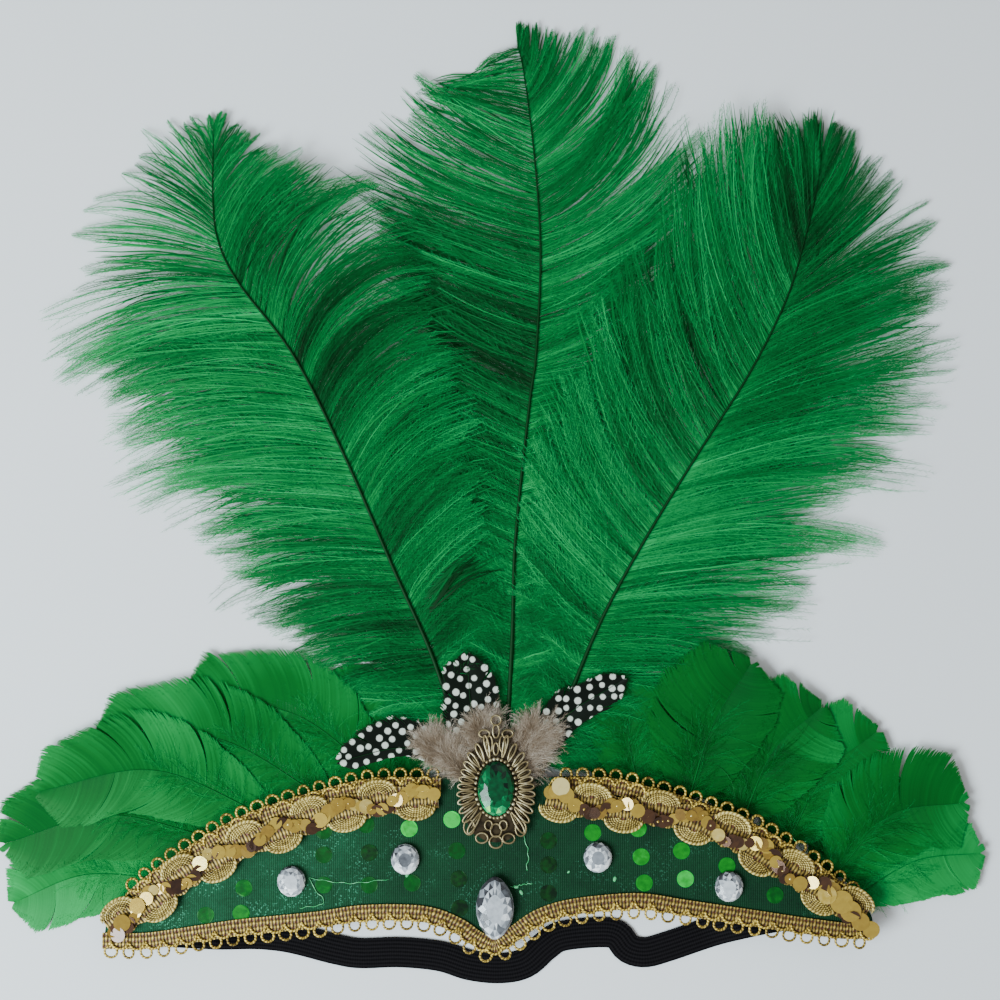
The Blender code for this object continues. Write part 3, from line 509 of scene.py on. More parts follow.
def ribbon_spots(lines, widths, tilt=0.0):
    """Corners of flat ribbons along lines of copies by rows by 3. Tilt turns them about their line."""
    ahead = unit(np.gradient(lines, axis=1))
    across = unit(np.cross(UP, ahead))
    lift = np.cross(ahead, across)
    turn = np.broadcast_to(tilt, widths.shape)[..., None]
    across = across * np.cos(turn) + lift * np.sin(turn)
    half = across * (widths / 2)[..., None]
    spots = np.stack([lines + half, lines - half], axis=2)
    return spots.reshape(len(lines), -1, 3)


def tube_spots(lines, radii, sides, ring=False):
    """Corners of round tubes along lines of copies by rows by 3."""
    if ring:
        ahead = unit(np.roll(lines, -1, axis=1) - np.roll(lines, 1, axis=1))
    else:
        ahead = unit(np.gradient(lines, axis=1))
    across = unit(np.cross(ahead, UP))
    lift = np.cross(across, ahead)
    turn = -math.pi / 2 - 2 * math.pi * np.arange(sides)[:, None] / sides
    around = across[:, :, None] * np.cos(turn) + lift[:, :, None] * np.sin(turn)
    spots = lines[:, :, None] + around * np.broadcast_to(radii, lines.shape[:2])[..., None, None]
    return spots.reshape(len(lines), -1, 3)


def spread(values, corners):
    """A number for each copy, or for each copy and row, given to every corner of it."""
    values = np.asarray(values, float)
    if values.ndim == 1:
        return np.repeat(values[:, None], corners, axis=1)
    return np.repeat(values, corners // values.shape[1], axis=1)


def cords(name, lines, radius, twist, material, sides=6, ring=False, tones=0.5):
    """Twisted cords along lines of copies by rows by 3. Open ones taper to closed ends."""
    count, rows = lines.shape[:2]
    radii = np.full((count, rows), radius)
    if not ring:
        radii[:, (0, -1)] = 0.02 * MM
    gaps = np.linalg.norm(np.diff(lines, axis=1), axis=2)
    run = np.concatenate([np.zeros((count, 1)), np.cumsum(gaps, axis=1)], axis=1)
    around = np.tile(np.arange(sides) / sides, rows)
    marks = {"turn": spread(run / twist, rows * sides) + around}
    marks["tone"] = spread(np.broadcast_to(tones, count), rows * sides)
    faces = grid_faces(rows, sides, True, ring)
    return copies(name, faces, tube_spots(lines, radii, sides, ring), material, marks)


def rod(name, line, radii, sides, material):
    """One tapered tube along a line, such as a feather's shaft."""
    faces = grid_faces(len(line), sides, True)
    copies(name, faces, tube_spots(line[None], radii[None], sides), material)


def ribbons(name, lines, widths, tilt, tones, material, along=None, shaft=None):
    """Flat barbs, each with its tone, and the share along it unless one number stands for that. With a
    shaft, the UV map holds the place across and along it."""
    count, steps = lines.shape[:2]
    way = np.linspace(0, 1, steps) if along is None else np.full(steps, along)
    marks = {"tone": spread(tones, 2 * steps), "along": np.repeat(np.tile(way, (count, 1)), 2, axis=1)}
    spots = ribbon_spots(lines, np.broadcast_to(widths, (count, steps)), tilt)
    flat = None
    if shaft is not None:
        ahead = unit(shaft[-1] - shaft[0])
        local = spots[..., :2] - shaft[0]
        flat = np.stack([local @ (-ahead[1], ahead[0]), local @ ahead], axis=-1)
    return copies(name, grid_faces(steps, 2), spots, material, marks, flat)


# Shader maths

class Value:
    """A socket that Python's operators work on."""

    def __init__(self, net, socket):
        self.net = net
        self.socket = socket

    def maths(self, operation, *others):
        return self.net.maths(operation, self, *others)

    def __add__(self, other):
        return self.maths("ADD", other)

    def __sub__(self, other):
        return self.maths("SUBTRACT", other)

    def __mul__(self, other):
        return self.maths("MULTIPLY", other)

    def __truediv__(self, other):
        return self.maths("DIVIDE", other)

    __radd__ = __add__
    __rmul__ = __mul__

    def __rsub__(self, other):
        return self.net.maths("SUBTRACT", other, self)

    def __rtruediv__(self, other):
        return self.net.maths("DIVIDE", other, self)

    def over(self, limit):
        return self.maths("GREATER_THAN", limit)

    def wave(self):
        """From 0 to 1 and back for each whole turn."""
        return (self * (2 * math.pi)).maths("SINE") * 0.5 + 0.5

    def step(self, low, high):
        """0 below low and 1 above high, smooth between."""
        settings = {"interpolation_type": "SMOOTHSTEP"}
        return self.net.node("ShaderNodeMapRange", settings, (self, low, high)).out()


class Node:
    """A node whose outputs are values."""

    def __init__(self, net, node):
        self.net = net
        self.node = node

    def out(self, name=0):
        return Value(self.net, self.node.outputs[name])


class Finish:
    """A material and its nodes. Constants are set on the shader's own sockets."""

    def __init__(self, name, **constants):
        self.material = bpy.data.materials.new(name)
        self.material.use_nodes = True
        self.tree = self.material.node_tree
        self.shader = self.tree.nodes["Principled BSDF"]
        for socket, value in constants.items():
            self.shader.inputs[socket.replace("_", " ")].default_value = value

    def node(self, kind, settings=None, inputs=()):
        """A node of a kind, with its settings, then its inputs by number or by name."""
        made = self.tree.nodes.new(kind)
        for name, value in (settings or {}).items():
            if name == "stops":
                self.set_stops(made.color_ramp, value)
            else:
                setattr(made, name, value)
        pairs = inputs.items() if isinstance(inputs, dict) else enumerate(inputs)
        for name, value in pairs:
            if isinstance(value, Value):
                self.tree.links.new(value.socket, made.inputs[name])
            else:
                made.inputs[name].default_value = value
        return Node(self, made)

    def set_stops(self, ramp, stops):
        while len(ramp.elements) < len(stops):
            ramp.elements.new(1)
        for element, (place, colour) in zip(ramp.elements, stops):
            element.position = place
            element.color = (*colour, 1)

    def maths(self, operation, *values):
        return self.node("ShaderNodeMath", {"operation": operation}, values).out()

    def mark(self, name):
        """A number stored on the mesh."""
        return self.node("ShaderNodeAttribute", {"attribute_name": name}).out("Fac")

    def place(self):
        return self.node("ShaderNodeTexCoord").out("Object")

    def uv(self):
        return self.node("ShaderNodeTexCoord").out("UV")

    def parts(self, vector):
        made = self.node("ShaderNodeSeparateXYZ", None, (vector,))
        return made.out("X"), made.out("Y"), made.out("Z")

    def noise(self, scale, detail=2.0):
        inputs = {"Vector": self.place(), "Scale": scale, "Detail": detail}
        return self.node("ShaderNodeTexNoise", None, inputs).out("Fac")

    def cells(self, vector, scale, jitter=1.0, flat=False):
        """The distance to the nearest of many scattered spots, and a chance number for each of them."""
        settings = {"voronoi_dimensions": "2D" if flat else "3D"}
        inputs = {"Vector": vector, "Scale": scale, "Randomness": jitter}
        made = self.node("ShaderNodeTexVoronoi", settings, inputs)
        return made.out("Distance"), self.parts(made.out("Color"))[0]

    def ramp(self, value, *stops):
        return self.node("ShaderNodeValToRGB", {"stops": stops}, (value,)).out("Color")

    def mix(self, share, first, second):
        inputs = {0: share, 6: first, 7: second}
        for name in (6, 7):
            if isinstance(inputs[name], tuple):
                inputs[name] = (*inputs[name], 1)
        return self.node("ShaderNodeMix", {"data_type": "RGBA"}, inputs).out(2)

    def feed(self, socket, value):
        self.tree.links.new(value.socket, self.shader.inputs[socket])

    def paint(self, value, *stops):
        """Feeds the base colour with a colour, or with a number through a ramp."""
        self.feed("Base Color", self.ramp(value, *stops) if stops else value)

    def bump(self, height, distance, strength):
        inputs = {"Strength": strength, "Distance": distance, "Height": height}
        self.feed("Normal", self.node("ShaderNodeBump", None, inputs).out("Normal"))

    def through(self, share, colour):
        """Lets light through the piece, as thin barbs do."""
        out = self.tree.nodes["Material Output"]
        glow = self.node("ShaderNodeBsdfTranslucent", None, {"Color": (*colour, 1)})
        mixed = self.tree.nodes.new("ShaderNodeMixShader")
        mixed.inputs[0].default_value = share
        self.tree.links.new(self.shader.outputs[0], mixed.inputs[1])
        self.tree.links.new(glow.node.outputs[0], mixed.inputs[2])
        self.tree.links.new(mixed.outputs[0], out.inputs["Surface"])


def linear(*parts):
    """A colour of 0 to 255 as the shaders want it."""
    shares = [part / 255 for part in parts]
    return tuple(s / 12.92 if s <= 0.04045 else ((s + 0.055) / 1.055) ** 2.4 for s in shares)


def barb_finish(name, deep, mid, bright, glow, roughness):
    """Dyed barbs: each has its own tone, and painted shade makes them darker towards the shaft."""
    made = Finish(name, Roughness=roughness, Specular_IOR_Level=0.12)
    patches = made.noise(40.0)
    # Painted shade: the share along each barb brightens it away from the shaft, so it is darker near the
    # shaft.
    shade = made.mark("tone") * 0.75 + made.mark("along") * 0.14 + patches * 0.30 - 0.10
    made.paint(shade, (0.04, deep), (0.46, mid), (0.96, bright))
    made.through(0.22, glow)
    return made.material


def shaft_finish(name, colour, dark):
    made = Finish(name, Roughness=0.55, Specular_IOR_Level=0.12)
    made.paint(made.mix(made.noise(900.0), colour, dark))
    return made.material


def guinea_finish():
    """Black barbs with rows of pale dots. The UV map holds the place on the feather, in metres."""
    made = Finish("spotted_feather", Roughness=0.6, Specular_IOR_Level=0.1)
    across, along, _ = made.parts(made.uv())
    slant = made.node("ShaderNodeCombineXYZ", None, (across + along, across - along, 0.0)).out()
    far, chance = made.cells(slant, 1 / (6.2 * MM), jitter=0.40, flat=True)
    far = far + made.noise(1300.0) * 0.10 + chance * 0.07
    dot = 1 - far.step(0.30, 0.42)
    black = made.mix(made.mark("tone"), linear(2, 5, 2), linear(9, 20, 9))
    made.paint(made.mix(dot, black, linear(205, 210, 196)))
    return made.material


def down_finish():
    made = Finish("taupe_down", Roughness=0.8, Specular_IOR_Level=0.1)
    shade = made.mark("tone") * 0.6 + made.mark("along") * 0.35 + made.noise(160.0) * 0.45 - 0.12
    stops = ((0.1, linear(70, 50, 36)), (0.5, linear(138, 118, 96)), (0.95, linear(226, 212, 196)))
    made.paint(shade, *stops)
    made.through(0.25, linear(170, 150, 120))
    return made.material


def knit_finish():
    """Metallic green knit: fine wales along Y, painted glints at random and a left half painted paler as a
    sheen.
    """
    made = Finish("green_knit", Roughness=0.6, Specular_IOR_Level=0.12)
    place = made.place()
    x, y, _ = made.parts(place)
    wale = (x / (0.85 * MM)).wave()
    course = (y / (0.62 * MM) + wale * 0.4).wave()
    blotch = made.noise(60.0, 4.0)
    fine = made.noise(1400.0)
    # Painted sheen: the left half is made paler, as if lit.
    left = 1 - x.step(-0.12, 0.02)
    shade = wale * 0.16 + course * 0.08 + blotch * 0.42 + fine * 0.34 + left * 0.28 - 0.20
    stops = ((0.08, (0.0, 0.012, 0.004)), (0.45, (0.001, 0.038, 0.012)), (0.95, (0.010, 0.130, 0.056)))
    base = made.ramp(shade, *stops)
    _, chance = made.cells(place, 2300.0)
    # Painted glints: scattered pale teal spots, stronger on the painted sheen of the left half.
    painted_glint = chance.over(0.9) * made.noise(90.0).step(0.45, 0.66) * (left * 0.6 + 0.2)
    made.paint(made.mix(painted_glint, base, linear(70, 150, 116)))
    made.bump(wale * 0.6 + course * 0.4, 0.12 * MM, 0.8)
    return made.material


def toned_finish(name, scale, cloud, stops, **constants):
    """A finish that each plate or facet gives its own tone, somewhat clouded."""
    made = Finish(name, **constants)
    made.paint(made.mark("tone") + (made.noise(scale) - 0.5) * cloud, *stops)
    return made.material


def foil_finish():
    stops = (
        (0.0, (0.0, 0.010, 0.002)), (0.35, (0.0, 0.075, 0.006)), (0.7, (0.0, 0.24, 0.012)),
        (1.0, (0.01, 0.54, 0.06)),
    )
    return toned_finish("green_foil", 420.0, 0.5, stops, Metallic=0.3, Roughness=0.35,
                        Specular_IOR_Level=0.25)


def thread_finish(name, dark, mid, bright, metallic):
    """Twisted thread, with a stripe for each turn of its strands."""
    made = Finish(name, Roughness=0.4, Metallic=metallic, Specular_IOR_Level=0.4)
    strand = made.mark("turn").wave()
    shade = strand * 0.46 + made.mark("tone") * 0.42 + made.noise(600.0) * 0.62 - 0.28
    made.paint(shade, (0.1, dark), (0.48, mid), (0.92, bright))
    made.bump(strand, 0.12 * MM, 0.7)
    return made.material


def weave_finish():
    """Woven gold band: cross threads over three dark warps. U runs along in metres, V across."""
    made = Finish("gold_weave", Roughness=0.45, Metallic=0.45)
    along, across, _ = made.parts(made.uv())
    rib = (along / (1.35 * MM)).wave()
    warp = (across * 3.0 + 0.25).wave()
    over = (along / (2.7 * MM) + across * 1.5).wave()
    speck = made.noise(1100.0)
    shade = rib * 0.46 + warp * 0.26 + over * 0.18 + speck * 0.62 - 0.40
    stops = ((0.12, (0.018, 0.009, 0.001)), (0.46, (0.17, 0.105, 0.014)), (0.92, (0.80, 0.56, 0.12)))
    gold = made.ramp(shade, *stops)
    red = (1 - warp).step(0.72, 0.98) * (1 - over).step(0.25, 0.7)
    made.paint(made.mix(red * 0.7, gold, linear(92, 40, 26)))
    made.bump(rib * 0.5 + warp * 0.5, 0.22 * MM, 0.9)
    return made.material


def sequin_finish():
    stops = (
        (0.0, (0.024, 0.007, 0.002)), (0.24, (0.085, 0.030, 0.007)), (0.5, (0.34, 0.20, 0.022)),
        (0.78, (0.56, 0.38, 0.052)), (1.0, (0.92, 0.76, 0.30)),
    )
    return toned_finish("sequin_foil", 500.0, 0.22, stops, Metallic=0.55, Roughness=0.22, Coat_Weight=0.7,
                        Coat_Roughness=0.08)


def brass_finish():
    """Antique plating: dull dark in the hollows, worn bright on the high spots."""
    made = Finish("antique_brass", Metallic=0.72, Roughness=0.36)
    height = made.parts(made.place())[2]
    worn = height.step(PENDANT_BACK + 0.4 * MM, PENDANT_BACK + 2.3 * MM)
    stain = made.noise(320.0, 4.0)
    shade = worn * 0.62 + stain * 0.60 - 0.18
    stops = (
        (0.05, linear(24, 18, 10)), (0.40, linear(80, 66, 42)), (0.70, linear(142, 126, 90)),
        (0.98, linear(232, 222, 188)),
    )
    made.paint(shade, *stops)
    made.feed("Roughness", stain * 0.3 + 0.22)
    return made.material


def glass_finish(name, *stops):
    """Foil-backed cut glass: every facet gets its own tone, a painted reflection."""
    return toned_finish(name, 420.0, 0.35, stops, Roughness=0.08, Specular_IOR_Level=0.22, Coat_Weight=0.1,
                        Coat_Roughness=0.03)


def elastic_finish():
    """Black ribbed elastic. U runs along in metres, V across."""
    made = Finish("black_elastic", Roughness=0.9, Specular_IOR_Level=0.04)
    along, across, _ = made.parts(made.uv())
    rib = (across * 8.0).wave()
    pick = (along / (0.9 * MM)).wave()
    shade = rib * 0.5 + pick * 0.25 + made.noise(900.0) * 0.3
    made.paint(shade, (0.1, (0.0012, 0.001, 0.0014)), (0.9, (0.010, 0.009, 0.010)))
    made.bump(rib * 0.7 + pick * 0.3, 0.16 * MM, 0.8)
    return made.material


# Feathers

def barb_lines(shaft, shares, side, reach, heading, bend, steps):
    """Lines of barbs that leave the shaft at a heading and bend evenly. Angles are in radians."""
    origin = at_shares(shaft, shares)
    tangent = unit(at_shares(unit(np.gradient(shaft, axis=0)), shares))
    normal = side * np.column_stack([-tangent[:, 1], tangent[:, 0]])
    way = np.linspace(0, 1, steps)[None, :]
    bend = np.where(abs(bend) < 0.01, 0.01, bend)[:, None]
    turn = heading[:, None] + bend * way
    forward = (np.sin(turn) - np.sin(heading[:, None])) / bend
    outward = (np.cos(heading[:, None]) - np.cos(turn)) / bend
    step = forward[..., None] * tangent[:, None] + outward[..., None] * normal[:, None]
    flat = origin[:, None] + step * np.asarray(reach)[:, None, None]
    return np.concatenate([flat, np.zeros((len(shares), steps, 1))], axis=2)


def gathered(lines, groups, pull, power):
    """Barbs drawn to the mean of their group towards their tips."""
    count = groups.max() + 1
    total = np.zeros((count, *lines.shape[1:]))
    np.add.at(total, groups, lines)
    mean = total / np.maximum(np.bincount(groups, minlength=count), 1)[:, None, None]
    way = np.linspace(0, 1, lines.shape[1])[None, :, None] ** power
    return lines + (mean[groups] - lines) * way * np.asarray(pull)[:, None, None]


def fluff(name, lines, tones, per_barb, reach, material, start, opening, width=0.12 * MM):
    """Barbules: slim spikes on both sides of each barb."""
    barbs, rows = lines.shape[:2]
    ahead = unit(np.gradient(lines, axis=1))
    which = np.repeat(np.arange(barbs), per_barb)
    step = start + (0.985 - start) * (np.tile(np.arange(per_barb), barbs) + rng.random(len(which))) / per_barb
    spot = step * (rows - 1)
    first = np.minimum(spot.astype(int), rows - 2)
    part = (spot - first)[:, None]
    root = lines[which, first] * (1 - part) + lines[which, first + 1] * part
    way = ahead[which, first]
    side = np.where(rng.random(len(which)) < 0.5, 1.0, -1.0)
    angle = side * opening * rng.uniform(0.5, 1.25, len(which))
    turned = np.column_stack([
        way[:, 0] * np.cos(angle) - way[:, 1] * np.sin(angle),
        way[:, 0] * np.sin(angle) + way[:, 1] * np.cos(angle),
        way[:, 2] + rng.normal(0, 0.25, len(which)),
    ])
    fade = np.interp(step, (0, 0.25, 0.7, 1.0), (0.8, 1.0, 0.85, 0.35))
    tip = root + turned * (np.asarray(reach)[which] * fade * rng.uniform(0.6, 1.25, len(which)))[:, None]
    tip[:, 2] = np.maximum(tip[:, 2], 0.2 * MM)
    base = way * width
    spots = np.stack([root - base, root + base, tip], axis=1)
    clockwise = np.cross(spots[:, 1] - spots[:, 0], spots[:, 2] - spots[:, 0])[:, 2] < 0
    spots[clockwise] = spots[clockwise][:, (1, 0, 2)]
    marks = {"tone": spread(tones[which] + rng.normal(0, 0.10, len(which)), 3), "along": spread(step, 3)}
    return copies(name, np.array([[0, 1, 2]]), spots, material, marks)


def add_painted_light_and_shade(tones, lines):
    """Tones darkened by painted shade and brightened by painted light where the plume is, by the place of
    each barb's middle.
    """
    middle = lines[:, lines.shape[1] // 2, :2]
    for x, y, radius, amount in PAINTED_LIGHT_AND_SHADE:
        far = np.linalg.norm(middle - on_band((x, y)), axis=1) / radius
        tones = tones + amount * np.exp(-0.5 * far**2)
    return tones


def quill(name):
    """A plume's shaft, seen from above."""
    return smooth(on_band(QUILL_FEET[name]) + np.array(QUILLS[name]) * PLUME_SIZES[name][0], FINE_POINTS)


def quill_height(name, shares):
    table = np.array(PLUME_ROWS[name])
    return QUILL_HEIGHT + np.interp(shares, table[:, 0], table[:, 1]) * PLUME_RISE


def plume_side(plume_name, side, count, strands, locks, pull, thinning, clump=0.6, short=1.0):
    """The barbs of one side of a plume, with their tones and shares. They gather in strands, and the
    strands in locks. Shortened ones belong to the layer below, which doesn't twist."""
    reach = PLUME_SIZES[plume_name][1]
    table = np.array(PLUME_ROWS[plume_name], float)
    shaft = quill(plume_name)
    margin = PLUME_MARGINS[plume_name][0 if side > 0 else 1]
    offset = 2 if side > 0 else 5
    fine = np.linspace(table[0, 0], 0.998, 400)
    density = np.cumsum(np.interp(fine, (0.1, 0.25, 0.68, 1.0), (0.8, 1.15, 1.0, thinning)))
    where = np.sort((np.arange(count) + rng.random(count)) / count)
    shares = np.interp(where, density / density[-1], fine)
    strand = np.floor(where * strands + 0.25 * rng.normal(size=count)).astype(int)
    strand = np.unique(strand, return_inverse=True)[1]
    strand_count = strand.max() + 1
    lock = np.floor(np.arange(strand_count) * locks / strand_count + 0.3 * rng.normal(size=strand_count))
    lock = np.unique(lock.astype(int), return_inverse=True)[1][strand]
    by_strand = rng.normal(size=(4, strand_count))[:, strand]
    by_lock = rng.normal(size=(4, lock.max() + 1))[:, lock]
    value = [np.interp(shares, table[:, 0], table[:, offset + k]) for k in range(3)]
    vary = 1 + 0.04 * by_lock[0] + 0.05 * by_strand[0] + 0.07 * rng.normal(size=count)
    long = short * value[0] * reach * vary
    heading = np.radians(value[1] + 1.8 * by_lock[1] + 1.8 * by_strand[1] + 3.2 * rng.normal(size=count))
    bend = np.radians(value[2] + 6 * by_lock[2] + 6 * by_strand[2] + 9 * rng.normal(size=count))
    lines = barb_lines(shaft, shares, side, long, heading, bend, PLUME_STEPS)
    lines = gathered(lines, strand, clump + 0.28 * np.interp(shares, (0.55, 0.85), (0, 1)), 2.0)
    lines = gathered(lines, lock, pull * np.clip(1 + 0.5 * by_lock[3], 0.1, 1.6), 3.0)
    way = np.linspace(0, 1, PLUME_STEPS)
    tones = 0.50 + 0.07 * by_lock[0] + 0.10 * by_strand[3] + 0.12 * rng.normal(size=count)
    for name, twist_side, first, last, meet, strength, painted_shade in TWISTS:
        if name != plume_name or twist_side != side or short < 1:
            continue
        inside = np.interp(shares, (first - 0.02, first, last, last + 0.02), (0, 1, 1, 0))
        goal = on_band(meet) + rng.normal(0, 1.6 * MM, (count, 2))
        shift = (goal - lines[:, -1, :2]) * (inside * strength)[:, None]
        lines[:, :, :2] += shift[:, None] * (way[None, :, None] ** 2.2)
        # Painted shade: barbs that twist together are made darker.
        tones = tones - painted_shade * inside
    wiggle = np.sin(way[None] * (5 + 2 * by_strand[2][:, None]) + 3 * by_strand[1][:, None]) * way[None]
    frizz = np.sin(way[None] * rng.uniform(8, 16, count)[:, None] + rng.uniform(0, 6, count)[:, None])
    wiggle = wiggle + 0.55 * frizz * way[None]
    nearest = np.searchsorted(np.linspace(0, 1, FINE_POINTS), shares).clip(0, FINE_POINTS - 1)
    across = sideways(shaft)[nearest]
    ahead = np.column_stack([across[:, 1], -across[:, 0]])
    lines[:, :, :2] += (wiggle * 0.9 * MM)[..., None] * ahead[:, None]
    base = quill_height(plume_name, shares)
    edge = np.interp(shares, (0.2, 0.38, 0.8, 1), (MARGIN_LOW, margin, margin, MARGIN_LOW))
    height = base[:, None] + (edge - base)[:, None] * way**1.6
    puff = abs(0.8 * by_lock[3] + 0.6 * by_strand[3] + 0.5 * rng.normal(size=count)) * MM
    height = height + puff[:, None] * np.sin(way * math.pi * 0.9)
    lines[:, :, 2] = np.maximum(height, 0.5 * MM)
    return lines, add_painted_light_and_shade(tones, lines), shares


def under_layer(name, thinning, finish):
    """A second layer of barbs below the first, darkened by painted shade, which closes the gaps between the
    locks.
    Between two plumes it is fuller and nearly as long as the first."""
    for side, label, thin in ((1, "left", thinning[0]), (-1, "right", thinning[1])):
        count, thin, short = (620, 0.6 * thin, 0.97) if (name, label) in INNER else (460, 0.12 * thin, 0.82)
        lines, tones, _ = plume_side(name, side, count, 90, 30, 0.15, thin, clump=0.12, short=short)
        lines[:, :, 2] = np.maximum(lines[:, :, 2] - 1.3 * MM, 0.35 * MM)
        way = np.linspace(0, 1, PLUME_STEPS)
        widths = np.interp(way, (0, 0.5, 0.85, 1), (0.45, 0.70, 0.50, 0.10)) * MM
        # Painted shade: the layer below is made darker than the barbs above it.
        ribbons(f"plume_{name}_under_{label}", lines, widths, 0.1, tones - 0.16, finish, along=0.3)


def plume(name, strands, locks, pulls, thinning, fluff_reach, finish, dark):
    under_layer(name, thinning, finish)
    settings = zip((1, -1), strands, locks, pulls, thinning)
    sides = [plume_side(name, side, PLUME_BARBS, *row) for side, *row in settings]
    lines, tones, shares = (np.concatenate(part) for part in zip(*sides))
    way = np.linspace(0, 1, PLUME_STEPS)
    widths = np.interp(way, (0, 0.15, 0.7, 1), (0.34, 0.36, 0.24, 0.07)) * MM
    widths = widths[None] * rng.uniform(0.8, 1.25, len(lines))[:, None]
    tilt = rng.uniform(-0.6, 0.6, len(lines))[:, None]
    barbs = ribbons(f"plume_{name}_barbs", lines, widths, tilt, tones, finish)
    fluffy = fluff_reach * np.interp(shares, (0.1, 0.35, 0.7, 0.9, 1.0), (1.4, 1.15, 1.0, 0.65, 0.5))
    fluff(f"plume_{name}_fluff", lines, tones, PLUME_BARBULES, fluffy, finish, start=0.04,
          opening=0.62)
    share = np.linspace(0, 1, SHAFT_ROWS)
    height = quill_height(name, share) + 0.5 * MM
    height = np.where(share < SHAFT_HIDDEN, np.minimum(height, QUILL_HEIGHT), height)
    radius = np.interp(share, (0, 0.15, 0.3, 0.8, 0.99, 1), (1.3, 1.0, 0.64, 0.36, 0.15, 0.03)) * MM
    line = raised(at_shares(quill(name), share), height)
    rod(f"plume_{name}_shaft", line, radius, 8, dark)
    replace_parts(barbs, f"plume_{name}")


def leaf_shaft(row):
    """The bowed shaft of a small feather and its length."""
    foot = on_band(row[0:2])
    span = on_band(row[2:4]) - foot
    middle = foot + span / 2 + row[4] * np.array([-span[1], span[0]])
    return smooth([foot, middle, foot + LEAF_SHAFT * span], 60), float(np.linalg.norm(span))


def leaf_barbs(row, outline, half, count, ragged, curve, start):
    """Barbs of a small feather, edge to edge, with a few splits between its locks."""
    shaft, length = leaf_shaft(row)
    table = np.array(outline)
    lines, tones, shares = [], [], []
    for side, part in ((1, row[5]), (-1, row[6])):
        share = start + (0.995 - start) * np.arange(count) / (count - 1)
        along = np.interp(share, table[:, 0], table[:, 1])
        across = np.interp(share, table[:, 0], table[:, 2]) * half * part
        forward = np.maximum((along - LEAF_SHAFT * share) * length, 0.001)
        lock = np.searchsorted(np.sort(rng.uniform(0.05, 1, LEAF_SPLITS)), share)
        locks = LEAF_SPLITS + 1
        loose = 1 + ragged * (0.8 * rng.normal(size=locks)[lock] + 0.5 * rng.normal(size=count))
        chord = np.hypot(forward, across) * np.clip(loose, 0.6, 1.15)
        bend = -curve * (1 + 0.1 * rng.normal(size=locks)[lock])
        heading = np.arctan2(across, forward) - bend / 2 + ragged * 0.35 * rng.normal(size=locks)[lock]
        line = barb_lines(shaft, share, side, chord, heading, bend, LEAF_STEPS)
        lines.append(gathered(line, lock, np.full(count, 0.10), 2.0))
        tones.append(0.5 + 0.05 * rng.normal(size=locks)[lock] + 0.035 * rng.normal(size=count))
        shares.append(share)
    return shaft, np.concatenate(lines), np.concatenate(tones), np.concatenate(shares)


def leaf_quill(name, shaft, height, radii, finish):
    share = np.linspace(0, 0.97, 30)
    heights = np.interp(share, np.linspace(0, 1, len(height)), height)
    radius = np.interp(share, (0, 0.3, 0.96, 0.97), (*radii, 0.02 * MM))
    rod(name, raised(at_shares(shaft, share), heights), radius, 6, finish)


def goose(name, row, finish, dark, pale):
    """A goose feather: a silky vane, with down at its foot."""
    height = GOOSE_TOP - row[7] * LAYER_STEP
    shaft, lines, tones, shares = leaf_barbs(row, FULL_LEAF, GOOSE_HALF, GOOSE_BARBS, 0.035, 0.75, 0.02)
    way = np.linspace(0, 1, LEAF_STEPS)
    cup = np.interp(shares, (0, 0.3, 1), (0, 0.6, 0.3))[:, None] * np.sin(way * math.pi * 0.75)
    lines[:, :, 2] = height + cup * 1.0 * MM + tones[:, None] * 0.2 * MM - 0.4 * MM * way**2
    widths = np.interp(way, (0, 0.5, 0.85, 1), (0.50, 0.80, 0.78, 0.25)) * MM
    tones = tones + pale
    made = ribbons(f"{name}_vane", lines, widths, VANE_TILT, tones, finish)
    outer = lines[:, LEAF_STEPS // 2:]
    reaches = np.full(len(lines), 1.3 * MM)
    fluff(f"{name}_edge", outer, tones, 8, reaches, finish, start=0.3, opening=0.5)
    radii = (0.36 * MM, 0.18 * MM, 0.05 * MM)
    leaf_quill(f"{name}_shaft", shaft, [height + 0.25 * MM] * 2, radii, dark)
    tuft(f"{name}_down", row, GOOSE_HALF, height, finish, 190, (-0.12, 0.50), 3.4 * MM,
         0.60 + pale, lift=0.9 * MM, curl=0.6, fan=(15, 80), opening=0.45)
    return made


def tuft(name, row, half, height, finish, count, span, fluff_reach, tone, lift=1.2 * MM, curl=0.9,
         fan=(20, 70), opening=0.9):
    """Loose down: soft strands that curl, with barbules."""
    shaft = leaf_shaft(row)[0]
    shares = np.maximum(rng.uniform(*span, count), 0.005)
    side = np.where(rng.random(count) < 0.5, 1.0, -1.0)
    part = np.where(side > 0, row[5], row[6])
    reach = half * part * rng.uniform(0.55, 1.15, count) * np.interp(shares, (0, 0.15, 1), (0.65, 1.0, 0.75))
    heading = np.radians(rng.uniform(*fan, count))
    bend = curl * rng.normal(size=count)
    lines = np.empty((count, LEAF_STEPS, 3))
    for sign in (1.0, -1.0):
        some = side == sign
        given = (shares[some], sign, reach[some], heading[some], bend[some])
        lines[some] = barb_lines(shaft, *given, LEAF_STEPS)
    way = np.linspace(0, 1, LEAF_STEPS)
    lines[:, :, 2] = height + (rng.uniform(-0.2, 1.0, count)[:, None] * np.sin(way * 2.4)) * lift
    tones = rng.normal(tone, 0.11, count)
    widths = np.interp(way, (0, 1), (0.24, 0.07)) * MM
    made = ribbons(name, lines, widths, 0.5, tones, finish)
    reaches = np.full(count, fluff_reach)
    fluff(f"{name}_fluff", lines, tones, TUFT_BARBULES, reaches, finish, start=0.05,
          opening=opening, width=0.10 * MM)
    return made


def drooped(lines, height):
    """Heights for spotted feathers, which sink past the band's edge."""
    far = np.linalg.norm(lines[..., :2] - on_band((0, 1)), axis=-1) / PANEL_HALF
    share = np.interp(far, DROOP_SHARES, (0, 1))
    return height - DROOP_DEPTH * ease(share)


